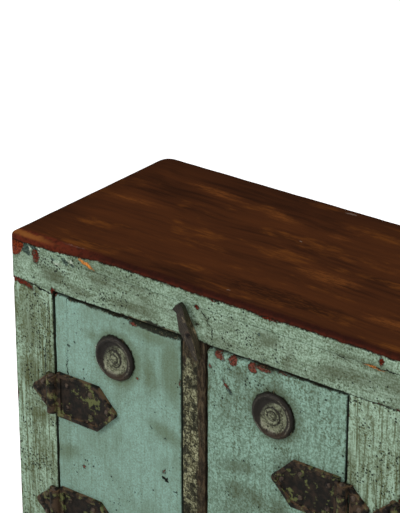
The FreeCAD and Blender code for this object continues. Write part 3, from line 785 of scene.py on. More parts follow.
class PieceTree(Tree):
    """The shader tree of one piece's material, with the piece's coordinates."""

    def __init__(self, tree: bpy.types.NodeTree, surface: Surface) -> None:
        """Keeps the tree, and what the finish needs to know of the piece."""
        super().__init__(tree)
        self.surface = surface
        self.where = self.add("TexCoord").outputs["Object"]

    def along(self) -> Socket:
        """Turns the coordinates so that the grain runs along X, from a place of the piece's own.

        Returns:
            The turned coordinates.
        """
        quarter = math.pi / 2
        turns = {Axis.X: ORIGIN, Axis.Y: (0.0, 0.0, -quarter), Axis.Z: (0.0, quarter, 0.0)}
        rng = random.Random(self.surface.seed)
        shift = tuple(rng.uniform(0.0, 5.0) if self.surface.seed else 0.0 for _ in range(3))
        inputs = {"Vector": self.where, "Rotation": turns[self.surface.grain], "Location": shift}
        return self.add("Mapping", inputs).outputs[0]

    def from_arris(self, span: Span) -> Socket:
        """Measures how far each point is from a box's nearest arris."""
        inputs = {"Coordinates": self.where, "Low": tuple(span.low), "High": tuple(span.high)}
        return self.place(ArrisDistance, inputs)["Distance"]


class Finish:
    """A kind of surface, which gives each piece its own material."""

    slot = ""
    bump = 0.35 * MM
    specular = 0.06
    metallic = 0.0

    def material(self, surface: Surface) -> bpy.types.Material:
        """Makes the material for one piece.

        Args:
            surface: What the finish needs to know of the piece.

        Returns:
            The new material.
        """
        material = bpy.data.materials.new(f"{self.slot}_{surface.name}")
        material.use_nodes = True
        shader = material.node_tree.nodes["Principled BSDF"]
        tree = PieceTree(material.node_tree, surface)
        colour, roughness, height = self.wire(tree)
        bump = tree.add("Bump", {"Strength": 0.8, "Distance": self.bump, "Height": height})
        inputs = {
            "Base Color": colour, "Roughness": roughness, "Normal": bump.outputs[0],
            "Specular IOR Level": self.specular, "Metallic": self.metallic,
        }
        for name, value in inputs.items():
            tree.feed(shader.inputs[name], value)
        return material

    def own(self, *names: str) -> dict[str, Value]:
        """Gives some of the finish's own values, by the names that an effect's inputs have."""
        return {name.title(): getattr(self, name) for name in names}

    def wire(self, tree: PieceTree) -> Look:
        """Adds the finish's nodes, and gives the colour, roughness and height."""
        raise NotImplementedError


@dataclass(frozen=True)
class Wood(Finish):
    """Unpainted or stained wood."""

    slot: str = "bare_wood"
    dark: Colour = seen(66, 46, 32)
    middle: Colour = seen(118, 88, 60)
    light: Colour = seen(156, 122, 86)
    contrast: float = 1.2
    pores: float = 0.45
    dirt: float = 0.5
    specular: float = 0.1
    bump: float = 0.3 * MM

    def grown(self, tree: Tree, along: Socket) -> Sockets:
        """Gives the grain's colour and height, for coordinates with the grain along X."""
        own = self.own("dark", "middle", "light", "contrast", "pores")
        return tree.place(WoodGrain, {"Coordinates": along} | own)

    def wire(self, tree: PieceTree) -> Look:
        """Grain, with dirt in clouds and along the arrises.

        Args:
            tree: The material's tree.

        Returns:
            The colour, roughness and height.
        """
        along = tree.along()
        grain = self.grown(tree, along)
        cloud = tree.noise(along, 14, 5, 0.65)
        edge = tree.smooth(tree.from_arris(tree.surface.span), 14 * MM, 1 * MM, 0.35)
        grime = tree.times(tree.plus(tree.smooth(cloud, 0.45, 0.75), edge), self.dirt)
        colour = tree.mix(grime, grain["Color"], self.dark)
        return colour, tree.smooth(cloud, 0.3, 0.7, 0.8, 0.55), grain["Height"]


@dataclass(frozen=True)
class Paint(Finish):
    """Old brushed paint over a red undercoat."""

    slot: str = "frame_paint"
    paint: Colour = seen(120, 142, 119)
    pale: Colour = seen(158, 182, 161)
    dirty: Colour = seen(70, 74, 50)
    undercoat: Colour = seen(98, 32, 18)
    wear: float = 0.4
    dirt: float = 0.55
    brush: float = 0.3
    speckle: float = 0.7
    pitting: float = 0.6
    # How dark the sides turned to a neighbour get: painted shade in the gaps, with some grime.
    grimed: float = 0.88
    cover: float = 16 * MM
    mark_depth: float = 9 * MM
    wood: Wood = Wood(contrast=1.0)

    # How far outside a piece a mark's centre may be and still be painted on it.
    MARK_REACH = 12 * MM
    # How fast the marks fade behind the depth that they reach.
    MARK_FALL = 8.0
    # The scales of the noises that fray a mark's edge, and how far each moves it.
    WOBBLE = ((520.0, 4 * MM), (240.0, 5 * MM), (85.0, 8 * MM))

    def marks(self, surface: Surface) -> list[Mark]:
        """Picks the marks of the front that lie on a piece.

        Args:
            surface: The piece.

        Returns:
            Its marks, or none where its front isn't painted.
        """
        if Side.FRONT not in surface.painted:
            return []
        corner = front_corner()
        low, high = surface.span.low, surface.span.high
        reach = self.MARK_REACH
        return [
            mark
            for mark in FRONT_MARKS + far_marks() + boss_marks()
            if low.x - reach < corner.x + mark.across * MM < high.x + reach
            and low.z - reach < corner.z - mark.drop * MM < high.z + reach
        ]

    def distances(
        self, tree: Tree, where: Socket, marks: Iterable[Mark], place: Callable[[Mark], Point]
    ) -> dict[str, Socket]:
        """Measures how far each point is from the marks of each kind.

        Args:
            tree: The tree to add to.
            where: The points, with the marks' plane as X and Z.
            marks: The marks to measure from.
            place: Gives a mark's centre on that plane.

        Returns:
            The distances, by the name of the paint effect's input for their kind.
        """
        ragged = where
        for scale, reach in self.WOBBLE:
            wobble = tree.drift(where, scale, 3, 0.6)
            ragged = tree.vector("MULTIPLY_ADD", wobble, (reach, 0.0, reach), ragged)
        found = {}
        for mark in marks:
            turn = math.radians(mark.turn)
            rise, run = math.sin(turn), math.cos(turn)
            length, width = mark.half_length * MM, mark.half_width * MM
            inputs = {
                "Coordinates": ragged, "Centre": place(mark), "Along": (run / length, 0.0, rise / length),
                "Across": (-rise / width, 0.0, run / width), "Least": min(length, width),
            }
            distance = tree.place(Ellipse, inputs)["Distance"]
            name = mark.kind.socket
            found[name] = tree.math("MINIMUM", found[name], distance) if name in found else distance
        return found

    def unpainted(self, tree: PieceTree) -> Socket:
        """Gives a mask of what lies further behind the painted sides than the brush reached.

        Args:
            tree: The tree to add to.

        Returns:
            The mask.
        """
        coordinates = tree.split(tree.where)
        outline = tree.surface.outline
        gaps = [
            tree.math("ABSOLUTE", tree.minus(coordinates[side.axis.value], side.end(outline)))
            for side in tree.surface.painted
        ]
        ragged = tree.waver(tree.noise(tree.where, 60, 4, 0.6), 5 * MM)
        depth = tree.plus(tree.fold("MINIMUM", gaps), ragged)
        return tree.smooth(depth, self.cover, self.cover + 2 * MM)

    def hidden(self, tree: PieceTree) -> Socket:
        """Gives a mask of the sides turned to a neighbour, but for those that its paint runs on over. These
        sides are darkened as painted shade in the gaps, with some grime.

        Args:
            tree: The tree to add to.

        Returns:
            The mask.
        """
        normal, surface = tree.normal(), tree.surface
        masks = []
        for side in (Side.LEFT, Side.RIGHT, Side.BOTTOM, Side.TOP):
            runs_on = abs(side.end(surface.span) - side.end(surface.outline)) >= CLOSE
            if side not in surface.painted and not runs_on:
                facing = tree.dot(normal, side.outward)
                masks.append(tree.smooth(facing, 0.85, 0.97, self.grimed))
        return tree.fold("MAXIMUM", masks)

    def wire(self, tree: PieceTree) -> Look:
        """The shared paint effect, with the piece's own marks, arrises and bare back, and painted shade
        with some grime on the sides in the gaps.

        Args:
            tree: The material's tree.

        Returns:
            The colour, roughness and height.
        """
        along, corner, surface = tree.along(), front_corner(), tree.surface
        marks = self.distances(
            tree, tree.where, self.marks(surface),
            lambda mark: (corner.x + mark.across * MM, 0.0, corner.z - mark.drop * MM),
        )
        past = tree.minus(tree.split(tree.where)[1], surface.span.low.y + self.mark_depth)
        behind = tree.times(tree.math("MAXIMUM", past, 0), self.MARK_FALL)
        inputs = {
            "Coordinates": along, "Arris": tree.from_arris(surface.outline),
            "Unpainted": self.unpainted(tree), "Bare": self.wood.grown(tree, along)["Color"],
        }
        inputs |= self.own("wear", "dirt", "brush", "speckle", "pitting")
        inputs |= self.own("paint", "pale", "dirty", "undercoat")
        inputs |= {name: tree.plus(distance, behind) for name, distance in marks.items()}
        paint = tree.place(OldPaint, inputs)
        # Painted shade, with some grime, on the sides that face into the gaps.
        colour = tree.mix(self.hidden(tree), paint["Color"], OldPaint.GRIME)
        return colour, paint["Roughness"], paint["Height"]


@dataclass(frozen=True)
class StilePaint(Paint):
    """Paint that a turning catch and many hands have rubbed away, most under the catch and on the right."""

    slot: str = "worn_stile"
    paint: Colour = seen(88, 86, 62)
    pale: Colour = seen(152, 152, 122)
    dirty: Colour = seen(34, 32, 22)
    undercoat: Colour = seen(70, 42, 38)
    dirt: float = 0.8
    brush: float = 0.35
    speckle: float = 0.95
    handled: Colour = seen(38, 31, 24)
    handled_light: Colour = seen(74, 62, 46)
    black: Colour = seen(24, 24, 18)
    bared_share: float = 0.64
    bared_drop: float = 32 * MM

    def wire(self, tree: PieceTree) -> Look:
        """The old paint in black blotches, with brown handled wood over its top and its right part.

        Args:
            tree: The material's tree.

        Returns:
            The colour, roughness and height.
        """
        colour, roughness, height = Paint.wire(self, tree)
        where, span = tree.where, tree.surface.span
        x, _, z = tree.split(where)
        blotch = tree.noise(where, 95, 6, 0.72)
        colour = tree.mix(tree.smooth(blotch, 0.53, 0.46, 0.85), colour, self.black)
        ragged = tree.waver(tree.noise(tree.drawn(where, 0.14, Axis.Z), 150, 5, 0.65), 8 * MM)
        edge = span.low.x + span.size.x * self.bared_share
        aside = tree.smooth(tree.plus(x, ragged), edge, edge + 3 * MM)
        start = span.high.z - self.bared_drop
        above = tree.smooth(tree.plus(z, tree.times(ragged, 3)), start - 8 * MM, start + 8 * MM)
        tone = tree.noise(tree.drawn(where, 0.25, Axis.Z), 320, 5, 0.75)
        brown = tree.mix(tree.smooth(tone, 0.47, 0.58), self.handled, self.handled_light)
        colour = tree.mix(tree.times(tree.math("MAXIMUM", aside, above), 0.92), colour, brown)
        return colour, roughness, height


@dataclass(frozen=True)
class StainedTop(Paint):
    """The top board: dark stained wood above, a maroon front arris, and paint on its edges."""

    slot: str = "stained_top"
    stain: Wood = Wood(
        dark=seen(44, 25, 16), middle=seen(63, 35, 20), light=seen(76, 42, 22), contrast=0.9, pores=0.2
    )
    glow: Colour = seen(94, 54, 24)
    maroon: Colour = seen(48, 23, 18)
    arris_red: Colour = seen(92, 40, 27)
    gold: Colour = seen(132, 82, 40)
    streak: Colour = seen(104, 60, 28)
    scratch: Colour = seen(128, 112, 100)
    arris_dark: Colour = seen(34, 20, 16)
    line: Colour = seen(26, 24, 18)
    darker_left: float = 60 * MM
    darker_back: float = 70 * MM
    red_length: float = 180 * MM
    lowered_length: float = 170 * MM
    band: float = 11 * MM
    paint_drop: float = 5 * MM
    corner_drop: float = 8 * MM
    specular: float = 0.0

    def marked(self, tree: PieceTree, colour: Socket) -> tuple[Socket, Socket]:
        """Lays streaks and scratches over the stained wood, and darkens it to the left and the back.

        Args:
            tree: The tree to add to.
            colour: The stained wood.

        Returns:
            The new colour, and how far each point is from the bare patch at the corner.
        """
        where, low, high = tree.where, tree.surface.span.low, tree.surface.span.high
        x, y, _ = tree.split(where)
        plane = tree.add("CombineXYZ", {"X": x, "Z": tree.times(y, -1)}).outputs[0]
        far = self.distances(
            tree, plane, TOP_MARKS, lambda mark: (low.x + mark.across * MM, 0.0, -low.y - mark.drop * MM)
        )
        softness = tree.waver(tree.noise(tree.drawn(where, 0.1), 150, 4, 0.6), 12 * MM)
        broken = tree.smooth(tree.noise(tree.drawn(where, 0.2), 330, 5, 0.75), 0.42, 0.56, 0.9, 0.25)
        for kind, shade in ((RUBBED, self.streak), (STAIN, self.stain.dark)):
            amount = tree.smooth(tree.plus(far[kind.socket], softness), 6 * MM, -8 * MM)
            colour = tree.mix(tree.times(amount, broken), colour, shade)
        scratch = tree.smooth(far[PALE.socket], 0.5 * MM, -0.5 * MM, 0.75)
        colour = tree.mix(scratch, colour, self.scratch)
        left = tree.smooth(x, low.x + self.darker_left, low.x)
        back = tree.smooth(y, high.y - self.darker_back, high.y)
        colour = tree.mix(tree.times(tree.math("MAXIMUM", left, back), 0.45), colour, self.stain.dark)
        return colour, far[BARE.socket]

    def arris(self, tree: PieceTree, gold: Socket) -> Socket:
        """Gives the front arris's colour: maroon, redder and then golden towards the left corner.

        Args:
            tree: The tree to add to.
            gold: How far each point is from the bare patch at the corner.

        Returns:
            The colour.
        """
        where, low, high = tree.where, tree.surface.span.low, tree.surface.span.high
        x, _, z = tree.split(where)
        leftward = tree.smooth(x, low.x + self.red_length, low.x + self.red_length / 3, 0.95)
        below = tree.smooth(z, high.z - 0.8 * MM, high.z - 3.5 * MM, 0.45)
        colour = tree.mix(tree.math("MAXIMUM", leftward, below), self.maroon, self.arris_red)
        mottle = tree.smooth(tree.noise(where, 140, 5, 0.7), 0.58, 0.38, 0.6)
        colour = tree.mix(mottle, colour, self.arris_dark)
        near = tree.smooth(gold, 4 * MM, -3 * MM)
        golden = tree.times(near, tree.smooth(z, high.z - 7 * MM, high.z - 3 * MM))
        return tree.mix(tree.times(golden, 0.8), colour, self.gold)

    def wire(self, tree: PieceTree) -> Look:
        """Lays the painted edge over the stained wood, with a dark line where the paint stops.

        Args:
            tree: The material's tree.

        Returns:
            The colour, roughness and height.
        """
        painted, rough_paint, high_paint = Paint.wire(self, tree)
        where, low, high = tree.where, tree.surface.span.low, tree.surface.span.high
        x, y, z = tree.split(where)
        grain = self.stain.grown(tree, where)
        cloud = tree.noise(tree.drawn(where, 0.34), 26, 5, 0.66)
        drawn = tree.noise(tree.drawn(where, 0.12), 210, 4, 0.65)
        glow = tree.times(tree.smooth(cloud, 0.52, 0.66), tree.smooth(drawn, 0.36, 0.6, 1, 0.2))
        stained = tree.mix(glow, grain["Color"], self.glow)
        colour, gold = self.marked(tree, stained)
        ragged = tree.waver(tree.noise(where, 75, 6, 0.66), 4.5 * MM)
        behind = tree.plus(tree.minus(y, low.y), ragged)
        band = tree.smooth(behind, self.band + 5 * MM, self.band - 4 * MM, 0.92)
        colour = tree.mix(band, colour, self.arris(tree, gold))
        full = low.x + 50 * MM
        lowered = tree.smooth(x, low.x + self.lowered_length, full, -self.corner_drop)
        lowered = tree.plus(lowered, tree.times(ragged, 0.55))
        drop = tree.plus(tree.minus(high.z, z), lowered)
        edge = tree.smooth(drop, self.paint_drop - 0.5 * MM, self.paint_drop + 0.5 * MM)
        away = tree.math("ABSOLUTE", tree.minus(drop, self.paint_drop))
        flecks = tree.smooth(tree.noise(where, 190, 4, 0.7), 0.42, 0.56, 0.9, 0.1)
        line = tree.times(tree.smooth(away, 1.9 * MM, 0.5 * MM), flecks)
        colour = tree.mix(line, tree.mix(edge, colour, painted), self.line)
        satin = tree.smooth(grain["Height"], 0.3, 0.7, 0.52, 0.4)
        roughness = tree.mix(edge, satin, rough_paint)
        height = tree.mix(edge, tree.times(grain["Height"], 0.25), high_paint)
        return colour, roughness, height


@dataclass(frozen=True)
class Handled(Finish):
    """Old iron: nearly black, rusty in clouds, rubbed on what stands proud, painted light on what faces up,
    with remains of paint.
    """

    slot: str = "hinge_iron"
    base: Colour = seen(24, 22, 18)
    bloom: Colour = seen(48, 38, 30)
    polish: Colour = seen(104, 82, 60)
    remains: Colour = seen(102, 108, 64)
    patches: float = 0.75
    scale: float = 90.0
    specular: float = 0.15
    metallic: float = 0.15
    # How much painted light, in the polish colour, falls on what faces up.
    worn: float = 0.85
    proud: float = 0.3
    proud_shares: tuple[float, float] = (0.7, 0.54)
    bump: float = 0.4 * MM

    def wire(self, tree: PieceTree) -> Look:
        """The shared patina, with painted light on what faces up, and rubbed bright a little on what stands
        forward.

        Args:
            tree: The material's tree.

        Returns:
            The colour, roughness and height.
        """
        span = tree.surface.span
        start, end = (span.low.y + span.size.y * share for share in self.proud_shares)
        forward = tree.smooth(tree.split(tree.where)[1], start, end, self.proud)
        # Painted light from above: faces that look up get the polish colour.
        upward = tree.smooth(tree.split(tree.normal())[2], 0.25, 0.6, self.worn)
        inputs = {"Coordinates": tree.where, "Worn": tree.math("MAXIMUM", forward, upward)}
        inputs |= self.own("base", "bloom", "polish", "remains", "patches", "scale")
        patina = tree.place(Patina, inputs)
        return patina["Color"], patina["Roughness"], patina["Height"]


@dataclass(frozen=True)
class BossPaint(Finish):
    """A turned boss: a dark rim, a cream-green dish, and a dotted ring and button, with painted shade in
    its grooves, round its foot and up and left inside the rim.
    """

    slot: str = "boss_wood"
    specular: float = 0.18
    bump: float = 0.5 * MM
    rim: Colour = seen(40, 35, 28)
    rim_light: Colour = seen(104, 102, 88)
    dish: Colour = seen(114, 119, 94)
    dish_light: Colour = seen(152, 152, 132)
    dish_dirt: Colour = seen(56, 57, 40)
    hollow: Colour = seen(26, 22, 18)
    scorch: Colour = seen(48, 35, 22)
    inner: float = 11.6 * MM
    outer: float = 24.6 * MM
    wall: float = 21.0 * MM
    groove: float = 6.2 * MM
    glint: float = 26.4 * MM
    pit_scale: float = 270.0
    below: Point = (0.2, 0.0, -0.98)

    # Which ways the dark rim reaches further over the dish, and how far: up and left, right, down and left.
    # The reach up and left is painted shade on the inner wall, with dirt.
    LOBES = (((-0.75, 0.0, 0.66), 9 * MM), ((0.96, 0.0, 0.28), 3 * MM), ((-0.6, 0.0, -0.8), 1.2 * MM))

    def ring(self, tree: Tree, radius: Socket, place: float, width: float, amount: Value) -> Socket:
        """Gives a mask of a ring at a radius."""
        away = tree.math("ABSOLUTE", tree.minus(radius, place))
        return tree.times(tree.smooth(away, width, width * 0.2), amount)

    def toward(self, tree: Tree, flat: Socket, length: Socket, direction: Point) -> Socket:
        """Gives how much a point lies to one side of the centre, from 0 to 1."""
        share = tree.math("DIVIDE", tree.dot(flat, direction), tree.math("MAXIMUM", length, 1 * MM))
        return tree.math("MAXIMUM", share, 0)

    def wire(self, tree: PieceTree) -> Look:
        """Colours each ring of the turning by its distance from the centre.

        Args:
            tree: The material's tree.

        Returns:
            The colour, roughness and height.
        """
        where, span = tree.where, tree.surface.span
        flat = tree.drawn(tree.vector("SUBTRACT", where, tuple(span.centre)), 0, Axis.Y)
        length = tree.add("VectorMath", {0: flat}, operation="LENGTH").outputs["Value"]
        broad = tree.noise(where, 110, 5, 0.7)
        fine = tree.noise(where, 420, 4, 0.75)
        radius = tree.plus(length, tree.waver(broad, 2.5 * MM))
        up_left, right, down_left = (self.toward(tree, flat, length, way) for way, _ in self.LOBES)
        reaches = [tree.times(side, lobe[1]) for side, lobe in zip((up_left, right, down_left), self.LOBES)]
        # The dark rim reaches further where painted shade falls, up and left, with dirt.
        shade_and_crust_radius = tree.plus(radius, tree.fold("ADD", reaches))
        dish = tree.mix(tree.smooth(fine, 0.5, 0.62, 0.5), self.dish, self.dish_light)
        dish = tree.mix(tree.smooth(tree.blend(fine, 0.5, broad, 0.5), 0.54, 0.43), dish, self.dish_dirt)
        lit_wall = tree.times(tree.smooth(down_left, 0.5, 0.9, 0.7), tree.smooth(fine, 0.38, 0.5, 1, 0.3))
        dish = tree.mix(self.ring(tree, radius, self.wall, 2.2 * MM, lit_wall), dish, self.dish_light)
        rim = tree.mix(tree.smooth(broad, 0.5, 0.4, 0.7), self.rim, self.hollow)
        colour = tree.mix(tree.smooth(shade_and_crust_radius, self.outer - 1 * MM, self.outer + 1 * MM), dish, rim)
        glint = self.ring(tree, radius, self.glint, 1.3 * MM, tree.smooth(up_left, 0.5, 0.1, 0.9, 0.25))
        colour = tree.mix(tree.times(glint, tree.smooth(fine, 0.42, 0.54)), colour, self.rim_light)
        # Painted shade, with soot, up and left inside the rim.
        shade_and_soot = tree.times(tree.smooth(up_left, 0.3, 0.9, 0.75), tree.smooth(length, 10 * MM, 15 * MM))
        # Painted shade in the turned grooves, at the rim's edge and round the foot.
        shade_and_dirt_lines = [
            tree.times(shade_and_soot, tree.smooth(length, 28 * MM, 25 * MM)),
            self.ring(tree, radius, self.inner, 1.6 * MM, 0.9),
            self.ring(tree, radius, self.groove, 1.5 * MM, 0.8),
            self.ring(tree, shade_and_crust_radius, self.outer, 1.2 * MM, 0.5),
            self.ring(tree, length, span.size.x / 2, 3.6 * MM, 0.9),
        ]
        colour = tree.mix(tree.fold("MAXIMUM", shade_and_dirt_lines), colour, self.hollow)
        below = tree.smooth(self.toward(tree, flat, length, self.below), 0.6, 0.9, 0.8)
        below = tree.times(below, tree.smooth(radius, 20 * MM, 22.5 * MM))
        colour = tree.mix(below, colour, self.scorch)
        crowd = tree.smooth(length, 17 * MM, 9 * MM, 1.6, 1)
        pits = tree.place(Pits, {"Coordinates": where, "Amount": crowd, "Scale": self.pit_scale})["Mask"]
        colour = tree.mix(tree.times(pits, 0.85), colour, self.hollow)
        height = tree.minus(tree.math("MULTIPLY_ADD", fine, 0.5, broad), pits)
        return colour, tree.smooth(broad, 0.3, 0.7, 0.36, 0.6), height


@dataclass(frozen=True)
class CatchWood(Finish):
    """A handled wooden catch: brown, with one arris worn golden under a painted highlight, and grime along
    the others.
    """

    slot: str = "catch_wood"
    specular: float = 0.18
    bump: float = 0.5 * MM
    dark: Colour = seen(58, 51, 42)
    green: Colour = seen(58, 52, 36)
    gold: Colour = seen(164, 148, 112)
    grime: Colour = seen(24, 20, 15)
    lean: float = 0.0
    tip: float = 27 * MM

    def facing(self, tree: Tree, across: float, forward: float) -> Socket:
        """Gives how much the surface faces to the right of the catch, and forward, by shares of each."""
        way = Vector((across * math.cos(self.lean), -forward, -across * math.sin(self.lean)))
        return tree.dot(tree.normal(), tuple(way.normalized()))

    def wire(self, tree: PieceTree) -> Look:
        """Colours the front, the right side, and the arrises between them.

        Args:
            tree: The material's tree.

        Returns:
            The colour, roughness and height.
        """
        offset = tree.vector("SUBTRACT", tree.where, tuple(tree.surface.span.centre))
        inputs = {"Vector": offset, "Angle": -self.lean}
        turned = tree.add("VectorRotate", inputs, rotation_type="Y_AXIS").outputs[0]
        streaks = tree.drawn(turned, 0.22, Axis.Z)
        broad = tree.noise(streaks, 210, 5, 0.7)
        fine = tree.noise(streaks, 620, 4, 0.75)
        colour = tree.mix(tree.smooth(self.facing(tree, 1.0, 0.0), 0.5, 0.8), self.dark, self.green)
        colour = tree.mix(tree.smooth(fine, 0.52, 0.42, 0.8), colour, self.grime)
        colour = tree.mix(tree.smooth(broad, 0.56, 0.66, 0.4), colour, self.gold)
        broken = tree.smooth(tree.noise(turned, 160, 3, 0.6), 0.36, 0.5, 0.95, 0.3)
        # The front right arris: worn golden, with a painted highlight along it.
        ridge_wear_and_highlight = tree.smooth(self.facing(tree, 1.0, 1.0), 0.9, 0.98)
        colour = tree.mix(tree.times(ridge_wear_and_highlight, broken), colour, self.gold)
        edge = tree.smooth(self.facing(tree, -1.0, 1.0), 0.8, 0.95, 0.85)
        colour = tree.mix(edge, colour, self.grime)
        tip = tree.smooth(tree.split(turned)[2], self.tip, self.tip + 10 * MM, 0.7)
        colour = tree.mix(tip, colour, self.grime)
        return colour, tree.smooth(broad, 0.3, 0.7, 0.36, 0.6), tree.math("MULTIPLY_ADD", fine, 0.5, broad)


@cache
def front_corner() -> Vector:
    """Gives the front's upper left corner, from which marks are measured."""
    low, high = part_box("top_board")
    return Vector((low.x, low.y, high.z))


@cache
def boss_marks() -> tuple[Mark, ...]:
    """Gives the dark ring round each boss's foot, painted shadow with some handled grime, and the broad
    stain round that.

    Returns:
        Two marks for each door.
    """
    marks = []
    for number in DOOR_NUMBERS:
        boss = Span.of(f"door_{number}_boss")
        centre = (boss.centre - front_corner() + Vector(Boss.OFFSET)) / MM
        reach = boss.size.x / 2 / MM
        # Painted shadow round the boss's foot, with some handled grime.
        marks.append(Mark(GRIME, centre.x, -centre.z, reach - 1.4, reach - 1.4))
        marks.append(Mark(STAIN, centre.x + 3.0, -centre.z - 1.0, reach + 5.0, reach + 6.0))
    return tuple(marks)


@cache
def far_marks() -> tuple[Mark, ...]:
    """Gives the marks of the front that the photograph doesn't show, where use would put them.

    Returns:
        The shown marks again, turned round, from the right end on, and others scattered lower down.
    """
    rng = random.Random(17)
    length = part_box("top_board")[1].x - front_corner().x
    marks = []
    for mark in FRONT_MARKS:
        if mark.kind is not BARE and length / MM - mark.across > SHOWN_LENGTH:
            turn, shift = -mark.turn + rng.uniform(-8, 8), rng.uniform(-9, 9)
            marks.append(replace(mark, across=length / MM - mark.across + shift, turn=turn))
    kinds = (UNDERCOAT, FLAKE, STAIN, PITTED, CRACK, PALE)
    for _ in range(LOW_MARKS):
        kind = rng.choices(kinds, (4, 3, 6, 5, 2, 1))[0]
        broad = kind in (STAIN, PITTED)
        half_length = rng.uniform(8, 26) if broad else rng.uniform(1.5, 7)
        half_width = rng.uniform(6, 14) if broad else rng.uniform(0.8, 3)
        place = rng.uniform(20, length / MM - 20), rng.uniform(210, 545)
        marks.append(Mark(kind, *place, half_length, half_width, rng.uniform(-90, 90)))
    return tuple(marks)


def release() -> None:
    """Leaves nothing selected, so that a tool acts on the new piece alone."""
    bpy.ops.object.select_all(action="DESELECT")


@contextmanager
def chosen(piece: bpy.types.Object) -> Iterator[None]:
    """Selects a piece alone while tools act on it.

    Args:
        piece: The object to select.
    """
    release()
    piece.select_set(True)
    bpy.context.view_layer.objects.active = piece
    yield
    piece.select_set(False)


@contextmanager
def editing(piece: bpy.types.Object, picks: str = "VERT") -> Iterator[bmesh.types.BMesh]:
    """Opens a piece in edit mode with nothing selected, and leaves it in object mode.

    Args:
        piece: The object to edit.
        picks: What a selection is made of: VERT, EDGE or FACE.

    Yields:
        The mesh.
    """
    with chosen(piece):
        bpy.ops.object.mode_set(mode="EDIT")
        bpy.ops.mesh.select_all(action="DESELECT")
        bpy.context.tool_settings.mesh_select_mode = [picks == kind for kind in ("VERT", "EDGE", "FACE")]
        yield bmesh.from_edit_mesh(piece.data)
        bpy.ops.object.mode_set(mode="OBJECT")


